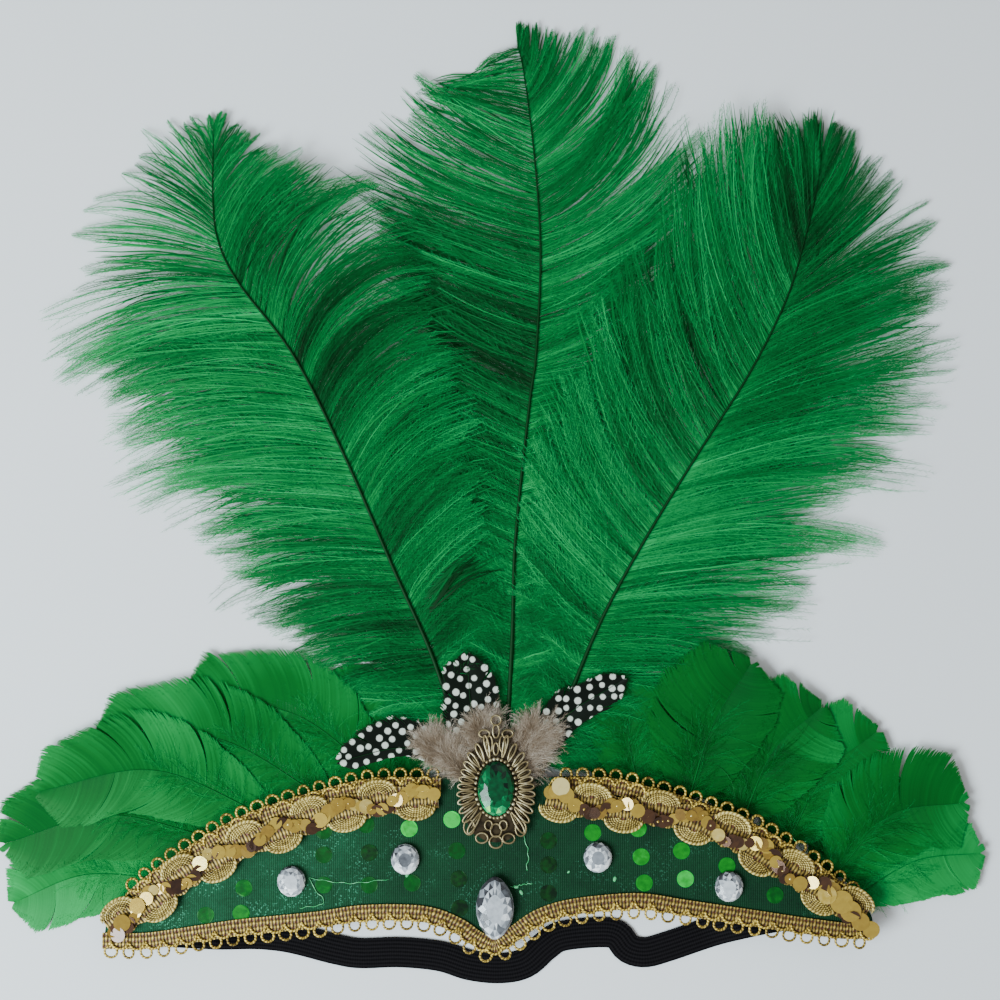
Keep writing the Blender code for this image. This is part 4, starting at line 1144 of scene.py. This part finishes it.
def guinea(name, row, finish, down, dark):
    """A spotted feather: black barbs in close order, with taupe down at its foot."""
    shaft, lines, tones, _ = leaf_barbs(row, LEAF, GUINEA_HALF, GUINEA_BARBS, 0.06, 0.5, 0.12)
    way = np.linspace(0, 1, LEAF_STEPS)
    lines[:, :, 2] = drooped(lines, GUINEA_HEIGHT) + 0.5 * MM * np.sin(way * 2.2) - 0.2 * MM
    widths = np.interp(way, (0, 0.5, 0.85, 1), (0.46, 0.56, 0.44, 0.12)) * MM
    made = ribbons(f"{name}_vane", lines, widths, VANE_TILT, tones, finish, shaft=shaft)
    heights = drooped(at_shares(shaft, np.linspace(0, 1, 12)), GUINEA_HEIGHT) + 0.2 * MM
    leaf_quill(f"{name}_shaft", shaft, heights, (0.4 * MM, 0.26 * MM, 0.08 * MM), dark)
    tuft(f"{name}_down", row, 1.2 * GUINEA_HALF, GUINEA_HEIGHT, down, 90, (0.02, 0.40), 2.2 * MM, 0.3)
    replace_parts(made, name)


def taupe_down(name, row, finish):
    made = tuft(name + "_strands", row, 2.0 * DOWN_HALF, DOWN_HEIGHT, finish, 420, (0.0, 0.70),
                4.2 * MM, 0.5, lift=1.0 * MM, curl=0.7, fan=(8, 55), opening=0.4)
    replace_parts(made, name)


# The band

def give_back(shape, thick):
    """Makes a plate of a sheet: its own corners sink and become the back."""
    made = bmesh.ops.extrude_face_region(shape, geom=shape.faces[:])
    front = {item for item in made["geom"] if isinstance(item, bmesh.types.BMVert)}
    for vert in set(shape.verts) - front:
        vert.co.z -= thick
    bmesh.ops.recalc_face_normals(shape, faces=shape.faces)


def strip_map(length, rows, across):
    """A strip's UV map: U in metres along it, V as given across it."""
    run = np.linspace(0, length, rows)
    return np.stack(np.broadcast_arrays(run[:, None], across[None]), axis=-1)


def slab(name, top, thick, material, flat=None):
    """A soft sheet from the corners of its front, rows by columns by 3, and its thickness."""
    rows, columns = top.shape[:2]
    shape = bmesh.new()
    bmesh.ops.create_grid(shape, x_segments=columns - 1, y_segments=rows - 1, size=1)
    layer = shape.loops.layers.uv.new("UVMap")
    for vert in shape.verts:
        row = round((vert.co.y + 1) / 2 * (rows - 1))
        column = round((vert.co.x + 1) / 2 * (columns - 1))
        vert.co = top[row, column]
        for loop in vert.link_loops:
            loop[layer].uv = (row, column / (columns - 1)) if flat is None else flat[row, column]
    give_back(shape, thick)
    return shape_piece(name, shape, material, 50)


def build_panel(finish):
    upper = smooth(on_band(UPPER_EDGE), 121)
    lower = smooth(on_band(LOWER_EDGE), 121)
    across = np.linspace(0, 1, 15)
    flat = upper[:, None] * (1 - across[:, None]) + lower[:, None] * across[:, None]
    rim = np.minimum(across, 1 - across) * np.linalg.norm(upper - lower, axis=1)[:, None]
    height = panel_height(flat.reshape(-1, 2)).reshape(rim.shape)
    height = height - 0.35 * MM * np.clip(1 - rim / (1.5 * MM), 0, 1) ** 2
    top = np.dstack([flat, height])[:, ::-1]
    made = slab("panel_knit", top, PANEL_TOP - PANEL_BACK, finish)
    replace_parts(made, "headband_panel")


def disc(sides, radii, heights, thick):
    """Corners and triangles of a thin round plate, with its front's heights at the given radii. Its
    back has the same shape."""
    shape = bmesh.new()
    bmesh.ops.create_circle(shape, cap_ends=True, segments=sides, radius=radii[-1])
    rim = shape.faces[:]
    for inner, outer in zip(radii[-2::-1], radii[::-1]):
        bmesh.ops.inset_region(shape, faces=rim, thickness=outer - inner, use_even_offset=True)
    for vert in shape.verts:
        vert.co.z = float(np.interp(math.hypot(vert.co.x, vert.co.y), radii, heights))
    give_back(shape, thick)
    return prototype(shape)


def bead():
    """Corners and triangles of a small ball."""
    shape = bmesh.new()
    bmesh.ops.create_uvsphere(shape, u_segments=8, v_segments=6, radius=1)
    return prototype(shape)


def placed(corners, places, sizes, yaws=0.0, tilts=0.0):
    """Copies of corners scaled, turned and tipped, then put at their places."""
    sizes, yaws, tilts = (np.broadcast_to(value, len(places)) for value in (sizes, yaws, tilts))
    cos_yaw, sin_yaw = np.cos(yaws), np.sin(yaws)
    cos_tip, sin_tip = np.cos(tilts), np.sin(tilts)
    spin = np.zeros((len(places), 3, 3))
    spin[:, 0, 0], spin[:, 0, 1] = cos_yaw, -sin_yaw
    spin[:, 1, 0], spin[:, 1, 1] = sin_yaw, cos_yaw
    spin[:, 2, 2] = 1
    tip = np.zeros((len(places), 3, 3))
    tip[:, 0, 0] = 1
    tip[:, 1, 1], tip[:, 1, 2] = cos_tip, -sin_tip
    tip[:, 2, 1], tip[:, 2, 2] = sin_tip, cos_tip
    sized = corners[None] * sizes[:, None, None]
    return np.einsum("nij,nkj->nki", spin @ tip, sized) + places[:, None]


def build_foil_dots(finish):
    dots = np.array(FOIL_DOTS)
    flat = on_band(dots[:, :2])
    places = raised(flat, panel_height(flat) + 0.08 * MM)
    corners, faces = disc(20, (0.3, 0.7, 1.0), (0.02, 0.01, 0.0), 0.04)
    spots = placed(corners, places, FOIL_DOT / 2, rng.uniform(0, 6, len(dots)))
    spots[..., 2] += 0.05 * MM * np.sin(2200 * spots[..., 0] + 900 * spots[..., 1])
    marks = {"tone": spread(dots[:, 2], len(corners))}
    copies("foil_dots", faces, spots, finish, marks, crisp=True)


def build_glue(finish):
    for number, route in enumerate(GLUE_THREADS, 1):
        flat = smooth(on_band(route), 24)
        flat += 0.25 * MM * np.column_stack([np.sin(np.arange(24) * 0.9), np.cos(np.arange(24) * 1.3)])
        line = raised(flat, panel_height(flat) + 0.3 * MM)[None]
        cords(f"glue_thread_{number}", line, 0.16 * MM, 5 * MM, finish)
    flat = on_band(GLUE_BLOBS)
    shape = bmesh.new()
    bmesh.ops.create_icosphere(shape, subdivisions=2, radius=1)
    bmesh.ops.scale(shape, vec=(1.3, 0.8, 0.5), verts=shape.verts)
    corners, faces = prototype(shape)
    places = raised(flat, panel_height(flat) + 0.15 * MM)
    count = len(places)
    spots = placed(corners, places, rng.uniform(0.5, 0.95, count) * MM, rng.uniform(0, 3, count))
    marks = {"tone": np.full(spots.shape[:2], 0.7), "turn": np.zeros(spots.shape[:2])}
    copies("glue_blobs", faces, spots, finish, marks)


def looped_braid(name, edge, pitch, weave, thread):
    """A woven band inside the edge, cord arcs on its outer half and a row of open loops outside."""
    count = round(length_of(edge) / pitch)
    path = smooth(edge, BRAID_STEP * count + 1)
    normal = sideways(path)
    across = np.linspace(0, 1, 9)
    flat = path[:, None] - normal[:, None] * (across * BRAID_WIDTH)[None, :, None]
    rib = 0.10 * MM * np.cos(across * 6 * math.pi)
    edge_fall = 0.30 * MM * (2 * abs(across - 0.5)) ** 6
    height = BRAID_FRONT - 0.15 * MM + rib - edge_fall + np.zeros((len(path), 1))
    top = np.dstack([flat, height])
    uv = strip_map(length_of(path), len(path), across)
    band = slab(f"{name}_weave", top[:, ::-1], 0.8 * MM, weave, uv[:, ::-1])
    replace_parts(band, name)
    turn = np.linspace(0, math.pi, 13)
    spots = np.arange(BRAID_STEP // 2, len(path) - 1, BRAID_STEP)
    wobble = rng.normal(0, 1, (len(spots), 3))
    ahead = np.column_stack([normal[:, 1], -normal[:, 0]])
    arcs = []
    for spot, (wide, deep, _) in zip(spots - BRAID_STEP // 2, wobble):
        centre = path[spot] - normal[spot] * 3.4 * MM
        out = (3.3 * MM + 0.15 * MM * deep) * np.sin(turn)[:, None] * normal[spot]
        side = -(0.46 * pitch + 0.1 * MM * wide) * np.cos(turn)[:, None] * ahead[spot]
        lift = BRAID_FRONT + 0.12 * MM + 0.1 * MM * np.sin(turn)
        arcs.append(raised(centre + out + side, lift))
    tones = rng.uniform(0.6, 1.1, len(arcs))
    cords(f"{name}_arcs", np.array(arcs), 0.50 * MM, 1.3 * MM, thread, tones=tones)
    turn = round_turn(18)
    loops = []
    for spot, (wide, deep, sway) in zip(spots, wobble):
        centre = path[spot] + normal[spot] * (LOOP_REACH - 2.55 * MM + 0.1 * MM * deep)
        lean = ahead[spot] * 0.35 * MM * sway
        out = (2.3 * MM) * np.cos(turn)[:, None] * (normal[spot] + 120 * lean)
        side = (2.25 * MM + 0.12 * MM * wide) * np.sin(turn)[:, None] * ahead[spot]
        lift = BRAID_BACK + 0.45 * MM + 0.2 * MM * np.sin(turn + sway)
        loops.append(raised(centre + out + side, lift))
    tones = rng.uniform(0.3, 0.9, len(loops))
    cords(f"{name}_loops", np.array(loops), 0.52 * MM, 1.3 * MM, thread, ring=True, tones=tones)


def build_braids(weave, thread):
    upper = smooth(on_band(UPPER_EDGE), FINE_POINTS)
    for name, (start, end) in UPPER_BRAIDS.items():
        x = upper[:, 0] - MIDDLE[0]
        inside = (x > start * PANEL_HALF) & (x < end * PANEL_HALF)
        looped_braid(name, upper[inside], UPPER_LOOP_PITCH, weave, thread)
    lower = smooth(on_band(LOWER_EDGE), FINE_POINTS)
    looped_braid("lower_braid", lower[::-1], LOWER_LOOP_PITCH, weave, thread)


def scallop(path, share, side, lift):
    """Threads of one shell-shaped scallop: curved lines inside a thick rim."""
    spot = at_shares(path, [share])[0]
    ahead = unit(at_shares(np.gradient(path, axis=0), [share])[0])
    out = side * np.array([-ahead[1], ahead[0]])
    turn = np.linspace(0.05, math.pi - 0.05, 13)
    rows = []
    for ring, grow in enumerate(SCALLOP_RINGS):
        half = SCALLOP_HALF * grow
        deep = SCALLOP_DEPTH * grow
        centre = spot + out * 2.6 * MM
        flat = centre - np.cos(turn)[:, None] * half * ahead + np.sin(turn)[:, None] ** 0.8 * deep * out
        height = GIMP_BACK + 0.35 * MM + 0.10 * MM * (len(SCALLOP_RINGS) - ring) + lift
        rows.append(raised(flat, height))
    return rows


def build_gimp(name, share_brown, thread, sequin, base_finish):
    """Scallops on both sides of a wavy strip, then sequins that weave between them, and beads."""
    path = smooth(on_band(GIMP[name]), GIMP_ROWS)
    normal = sideways(path)
    length = length_of(path)
    below, above = SCALLOPS[name]
    rims, inner = [], []
    for shares, side in ((below, -1), (above, 1)):
        for share in shares:
            rows = scallop(path, share, side, 0.2 * MM * rng.random())
            rims.append(rows[0])
            inner += rows[1:]
    tones = rng.uniform(0.55, 0.95, len(rims))
    rim = cords(f"{name}_rims", np.array(rims), 0.62 * MM, 1.6 * MM, thread, tones=tones)
    tones = rng.uniform(0.05, 0.75, len(inner))
    cords(f"{name}_threads", np.array(inner), 0.42 * MM, 1.1 * MM, thread, sides=5,
          tones=tones)
    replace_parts(rim, name)
    across = np.linspace(-1, 1, 7)
    flat = path[:, None] + normal[:, None] * (across * GIMP_HALF)[None, :, None]
    wave = np.sin(np.arange(GIMP_ROWS) * 0.9)[:, None, None]
    flat += 0.5 * MM * wave * normal[:, None] * across[None, :, None]
    top = np.dstack([flat, np.full(flat.shape[:2], GIMP_BACK + 0.6 * MM)])
    uv = strip_map(length, GIMP_ROWS, (across + 1) / 2)
    slab(f"{name}_backing", top, 0.5 * MM, base_finish, uv)
    spots = np.arange(0.006, 0.994, SEQUIN_STEP / length)
    near_low, near_high = (abs(spots[:, None] - shares).min(axis=1) for shares in (below, above))
    sway = (near_high - near_low) / (near_high + near_low + 1e-6)
    count = len(spots)
    aside = 3.4 * MM * sway + 0.5 * MM * rng.normal(size=count)
    flat = at_shares(path, spots) + at_shares(normal, spots) * aside[:, None]
    brown = np.clip(0.5 - 1.2 * sway, 0, 1)
    deep = rng.random(count) < 0.12 + share_brown * brown
    tones = np.where(deep, rng.uniform(0.05, 0.25, count), rng.uniform(0.42, 0.78, count))
    bright = rng.random(count) < 0.07
    tones[bright] = 0.85
    places = raised(flat, GIMP_BACK + 1.25 * MM + 0.35 * MM * (np.arange(count) % 2))
    corners, faces = disc(12, (0.25, 0.6, 1.0), (0.0, 0.05, 0.30), 0.05)
    sizes = rng.uniform(2.0, 3.1, count) * MM
    made = placed(corners, places, sizes, rng.uniform(0, 6.28, count), rng.uniform(-0.42, 0.42, count))
    marks = {"tone": spread(tones, len(corners))}
    copies(f"{name}_sequins", faces, made, sequin, marks, crisp=True)
    corners, faces = bead()
    with_bead = rng.random(count) < 0.5
    places = places[with_bead] + (0, 0, 0.35 * MM)
    made = placed(corners, places, rng.uniform(0.50, 0.72, len(places)) * MM)
    tone = spread(rng.uniform(0.55, 0.95, len(places)), len(corners))
    copies(f"{name}_beads", faces, made, sequin, {"tone": tone})


def build_gimp_ends(sequin):
    """Larger plates at both ends of the gimp and beside the pendant."""
    rows = (
        ((0.161, 0.938), 3.6, 1.0), ((0.881, 0.060), 4.6, 0.74), ((0.905, -0.010), 4.2, 0.66),
        ((0.845, 0.115), 3.8, 0.80), ((0.930, -0.090), 3.6, 0.60), ((-0.965, -0.100), 3.4, 0.55),
        ((-0.925, 0.030), 3.2, 0.62), ((0.175, 0.870), 3.2, 0.70), ((-0.975, -0.190), 3.0, 0.12),
        ((0.958, -0.150), 3.4, 0.66),
    )
    flat = on_band([row[0] for row in rows])
    places = raised(flat, GIMP_BACK + 2.0 * MM)
    corners, faces = disc(16, (0.25, 0.65, 1.0), (0.0, 0.04, 0.22), 0.05)
    sizes = np.array([row[1] for row in rows]) * MM
    made = placed(corners, places, sizes, rng.uniform(0, 6, len(rows)), rng.uniform(-0.2, 0.2, len(rows)))
    tones = spread([row[2] for row in rows], len(corners))
    copies("gimp_end_plates", faces, made, sequin, {"tone": tones}, crisp=True)


def build_strap(finish):
    path = smooth(on_band(STRAP_ROUTE), 140)
    share = np.linspace(0, 1, len(path))
    from_end = np.minimum(share, 1 - share) / STRAP_SEWN_SHARE
    lift = ease(np.clip(2 - from_end, 0, 1))
    low = STRAP_THICK
    high = PANEL_BACK - 0.3 * MM
    across = np.linspace(0, 1, 9)
    flat = path[:, None] + sideways(path)[:, None] * ((0.5 - across) * STRAP_WIDTH)[None, :, None]
    height = (low + (high - low) * lift)[:, None] - 0.25 * MM * (2 * abs(across - 0.5)) ** 6
    uv = strip_map(length_of(path), len(path), across)
    made = slab("strap", np.dstack([flat, height]), 0.75 * MM, finish, uv)
    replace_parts(made, "elastic_strap")


# Stones and pendant

# Rings of a stone's cut: share of its height, share of its half width and turn in half sides
BRILLIANT = ((0.0, 0.90, 0), (0.20, 1.0, 0), (0.32, 1.0, 1), (0.62, 0.90, 0), (0.86, 0.68, 1), (1.0, 0.46, 0))


def cut_stone(name, node, size, place, back, sides, point, finish, tone):
    """A cut stone: rings of corners joined by flat facets. Point sharpens its two ends, and tone gives
    each facet its brightness as a painted reflection."""
    length, width, height = size
    shape = bmesh.new()
    for level, share, twist in BRILLIANT:
        turn = Matrix.Rotation(twist * math.pi / sides, 4, "Z")
        made = bmesh.ops.create_circle(shape, cap_ends=False, segments=sides, radius=1, matrix=turn)
        for vert in made["verts"]:
            x, y = vert.co.x, vert.co.y
            vert.co.x = math.copysign(abs(x) ** point, x) * width / 2 * share
            vert.co.y = y * length / 2 * share
            vert.co.z = level * height
    hull = bmesh.ops.convex_hull(shape, input=shape.verts)
    loose = [item for item in hull["geom_interior"] if item.is_valid]
    bmesh.ops.delete(shape, geom=loose, context="VERTS")
    bmesh.ops.dissolve_limit(shape, angle_limit=0.03, verts=shape.verts, edges=shape.edges)
    bmesh.ops.recalc_face_normals(shape, faces=shape.faces)
    layer = shape.faces.layers.float.new("tone")
    for face in shape.faces:
        middle = face.calc_center_median()
        face[layer] = tone(face.normal, middle.x / width * 2, middle.y / length * 2)
    bmesh.ops.translate(shape, verts=shape.verts, vec=(*place, back))
    stone = shape_piece(name, shape, finish)
    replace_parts(stone, node)


def crystal_painted_reflection(normal, x, y):
    # Painted reflection: each facet is brighter or darker by the way it slopes, with a random share.
    return 0.58 - 0.50 * normal.y * (1 - normal.z * 0.3) + 0.20 * normal.x + rng.uniform(-0.42, 0.38)


def navette_painted_reflection(normal, x, y):
    # The navette's painted reflection is darker overall.
    return crystal_painted_reflection(normal, x, y) - 0.20


def emerald_painted_reflection(normal, x, y):
    # Painted reflection: darker towards the top, with painted glints at three spots and a random share.
    painted_glint = 0.0
    for spot_x, spot_y, amount in ((-0.45, -0.70, 0.42), (0.20, -0.80, 0.48), (-0.50, 0.45, 0.30)):
        painted_glint = max(painted_glint, amount * math.exp(-26 * ((x - spot_x) ** 2 + (y - spot_y) ** 2)))
    return 0.24 - 0.16 * y + rng.uniform(-0.17, 0.17) + painted_glint


def build_stones(crystal, emerald):
    for number, share in enumerate(RHINESTONES, 1):
        cut_stone(f"round_stone_{number}", f"rhinestone_{number}", ROUND_STONE, on_band(share), BRAID_BACK,
                  12, 1.0, crystal, crystal_painted_reflection)
    cut_stone("navette", "navette_stone", NAVETTE_STONE, on_band(NAVETTE_PLACE), 9.0 * MM, 16, 1.25,
              crystal, navette_painted_reflection)
    cut_stone("oval_stone", "pendant_stone", OVAL_STONE, on_band(STONE_PLACE), 11.0 * MM, 18, 1.0,
              emerald, emerald_painted_reflection)


def pendant_ray(edge, side, degrees, gap):
    """A direction from the stone's centre at an angle over its level, the stone's rim with a gap
    along it, and the pendant's edge there, in metres."""
    ray = np.array([side * math.cos(math.radians(degrees)), math.sin(math.radians(degrees))])
    rim = 1 / np.linalg.norm(ray / (STONE_WIDTH / 2 + gap, STONE_LENGTH / 2 + gap))
    angles = np.degrees(np.arctan2(edge[:, 1], edge[:, 0]))
    return ray, rim, float(np.linalg.norm(edge[np.argmin(abs(angles - degrees))]))


def build_pendant(finish):
    """Leaves of bent wire with a vein in each, scrolls between them, beads and a plate behind."""
    centre = on_band(STONE_PLACE)
    heights, shares = np.array(PENDANT_OUTLINE).T
    edge = smooth(np.column_stack([shares * PENDANT_HALF, heights * PENDANT_LENGTH]), 90)
    wires, veins = [], []
    turn = round_turn(20)
    grow = (1 - np.cos(turn)) / 2
    rows = [(degrees, 1.0, 1.25) for degrees in np.linspace(52, -58, 10)]
    rows += [(66, 0.97, 1.1), (78, 0.92, 0.95)]
    for side in (1, -1):
        for degrees, reach, half in rows:
            ray, start, end = pendant_ray(edge, side, degrees, 1.1 * MM)
            end = end * reach * PENDANT_RIM
            cross = np.array([-ray[1], ray[0]])
            along = start + (end - start) * grow
            wide = 1.12 * half * MM * np.sin(turn) * grow**0.5
            flat = centre + ray * along[:, None] + cross * wide[:, None]
            lift = PENDANT_BACK + 1.15 * MM + 0.75 * MM * np.sin(grow * 2.6)
            wires.append(raised(flat, lift))
            start = pendant_ray(edge, side, degrees, 1.4 * MM)[1]
            flat = centre + ray * np.linspace(start, end - 1.1 * MM, 6)[:, None]
            veins.append(raised(flat, PENDANT_BACK + np.array(VEIN_HEIGHTS)))
    rings = [
        ((0, 26.9), (1.95, 1.95)), ((-4.6, 21.6), (2.1, 1.5)), ((4.6, 21.6), (2.1, 1.5)),
        ((0, 22.6), (1.3, 2.6)), ((-10.6, -15.3), (2.1, 3.0)), ((9.8, -15.9), (2.1, 3.0)),
        ((-5.6, -19.6), (2.4, 2.0)), ((5.0, -19.8), (2.4, 2.0)), ((0, -21.2), (2.6, 2.4)),
        ((0, -16.6), (2.2, 2.6)), ((-2.9, -14.6), (1.5, 1.9)), ((2.9, -14.6), (1.5, 1.9)),
        ((-2.6, 17.6), (1.2, 3.2)), ((2.6, 17.6), (1.2, 3.2)), ((0, 15.6), (1.0, 2.4)),
    ]
    for (x, y), (wide, tall) in rings:
        flat = centre + np.column_stack([x + wide * np.cos(turn), y + tall * np.sin(turn)]) * MM
        wires.append(raised(flat, PENDANT_BACK + 1.5 * MM))
    made = cords("pendant_wires", np.array(wires), 0.42 * MM, 3 * MM, finish, ring=True)
    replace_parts(made, "pendant_setting")
    turn = round_turn(34)
    rim = (STONE_WIDTH / 2 + 0.85 * MM, STONE_LENGTH / 2 + 0.85 * MM)
    flat = centre + np.column_stack([np.cos(turn), np.sin(turn)]) * rim
    places = raised(flat, PENDANT_BACK + 2.0 * MM)
    corners, faces = bead()
    copies("pendant_beads", faces, placed(corners, places, 0.78 * MM), finish)
    cords("pendant_veins", np.array(veins), 0.34 * MM, 3 * MM, finish)
    inset = np.vstack([edge, (edge * (-1, 1))[::-1][1:-1]]) * 0.86
    shape = bmesh.new()
    points = bmesh.ops.create_circle(shape, cap_ends=True, segments=len(inset), radius=1)["verts"]
    order = sorted(points, key=lambda vert: -math.atan2(vert.co.y, vert.co.x))
    around = inset[np.argsort(-np.arctan2(inset[:, 1], inset[:, 0]))]
    for vert, (x, y) in zip(order, around):
        vert.co = (centre[0] + x, centre[1] + y, PENDANT_BACK + 0.8 * MM)
    give_back(shape, 0.7 * MM)
    bmesh.ops.triangulate(shape, faces=shape.faces)
    shape_piece("pendant_plate", shape, finish, 35)


# The picture: camera, floor and light

def build_camera():
    data = bpy.data.cameras.new("camera")
    data.sensor_width = SENSOR
    data.lens = SENSOR * CAMERA_HEIGHT / PHOTO_SPAN
    made = add_object("camera", data)
    made.location = (*(MIDDLE + PHOTO_MIDDLE), CAMERA_HEIGHT)
    bpy.context.scene.camera = made


def build_floor():
    shape = bmesh.new()
    bmesh.ops.create_grid(shape, x_segments=1, y_segments=1, size=3)
    data = bpy.data.meshes.new("floor")
    shape.to_mesh(data)
    shape.free()
    floor = add_object("floor", data)
    floor.location.z = -0.2 * MM
    cloth = Finish("pale_cloth", Roughness=0.9, Specular_IOR_Level=0.1)
    soft = cloth.noise(6.0)
    cloth.paint(cloth.mix(soft, (0.76, 0.775, 0.79), (0.82, 0.83, 0.84)))
    data.materials.append(cloth.material)


def add_light(name, place, aim, size, power, colour):
    data = bpy.data.lights.new(name, "AREA")
    data.shape = "RECTANGLE"
    data.size, data.size_y = size
    data.energy = power
    data.color = colour
    made = add_object(name, data)
    made.location = place
    made.rotation_euler = (Vector(aim) - Vector(place)).to_track_quat("-Z", "Y").to_euler()


def build_light():
    world = bpy.data.worlds.new("studio")
    bpy.context.scene.world = world
    world.use_nodes = True
    sky = world.node_tree.nodes["Background"].inputs
    sky["Color"].default_value = (0.96, 0.97, 0.98, 1)
    sky["Strength"].default_value = 0.52
    add_light("window", (-0.9, -0.6, 1.0), (-0.05, -0.02, 0), (0.8, 0.8), 46, (0.80, 0.94, 1.0))
    add_light("fill", (0.7, 0.9, 1.4), (0, 0, 0), (1.2, 1.2), 2, (1.0, 0.98, 0.95))


build_camera()
build_floor()
build_light()

plume_green = barb_finish(
    "plume_green", (0.0, 0.028, 0.005), (0.0, 0.19, 0.036), (0.006, 0.54, 0.145), (0.0, 0.32, 0.06), 0.6,
)
goose_green = barb_finish(
    "goose_green", (0.0, 0.022, 0.002), (0.0, 0.135, 0.016), (0.006, 0.46, 0.10), (0.0, 0.24, 0.03), 0.5,
)
shaft_dark = shaft_finish("dyed_shaft", (0.0, 0.040, 0.006), (0.0, 0.018, 0.003))
shaft_green = shaft_finish("green_shaft", (0.0, 0.14, 0.020), (0.0, 0.08, 0.010))
for name, row in PLUME_LOCKS.items():
    plume(name, *row, plume_green, shaft_dark)
for name, row in GOOSE.items():
    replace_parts(goose(name, row, goose_green, shaft_green, PALE.get(name, 0.0)), name)
for name, row in FILL.items():
    goose(name, row, goose_green, shaft_green, FILL_TONE)
spotted = guinea_finish()
taupe = down_finish()
for name, row in GUINEA.items():
    guinea(name, row, spotted, taupe, shaft_dark)
for name, row in DOWN.items():
    taupe_down(name, row, taupe)

gold_thread = thread_finish(
    "gold_thread", (0.022, 0.011, 0.001), (0.24, 0.150, 0.016), (0.92, 0.66, 0.13), 0.35,
)
cream_thread = thread_finish(
    "cream_thread", (0.036, 0.018, 0.002), (0.33, 0.225, 0.038), (0.96, 0.78, 0.27), 0.15,
)
gold_weave = weave_finish()
sequin_foil = sequin_finish()
build_strap(elastic_finish())
build_panel(knit_finish())
build_foil_dots(foil_finish())
build_glue(thread_finish("green_glue", linear(20, 110, 60), linear(60, 170, 100), linear(150, 230, 180), 0.0))
build_braids(gold_weave, gold_thread)
for name in GIMP:
    build_gimp(name, 0.35 if "left" in name else 0.75, cream_thread, sequin_foil, gold_weave)
build_gimp_ends(sequin_foil)
crystal = glass_finish(
    "crystal_glass", (0.05, linear(52, 52, 56)), (0.40, linear(136, 140, 146)), (0.72, linear(206, 210, 214)),
    (0.95, linear(255, 255, 255)),
)
emerald = glass_finish(
    "emerald_glass", (0.05, (0.0, 0.008, 0.004)), (0.36, (0.0, 0.090, 0.026)), (0.66, (0.0, 0.40, 0.13)),
    (0.98, (0.45, 0.95, 0.22)),
)
build_stones(crystal, emerald)
build_pendant(brass_finish())
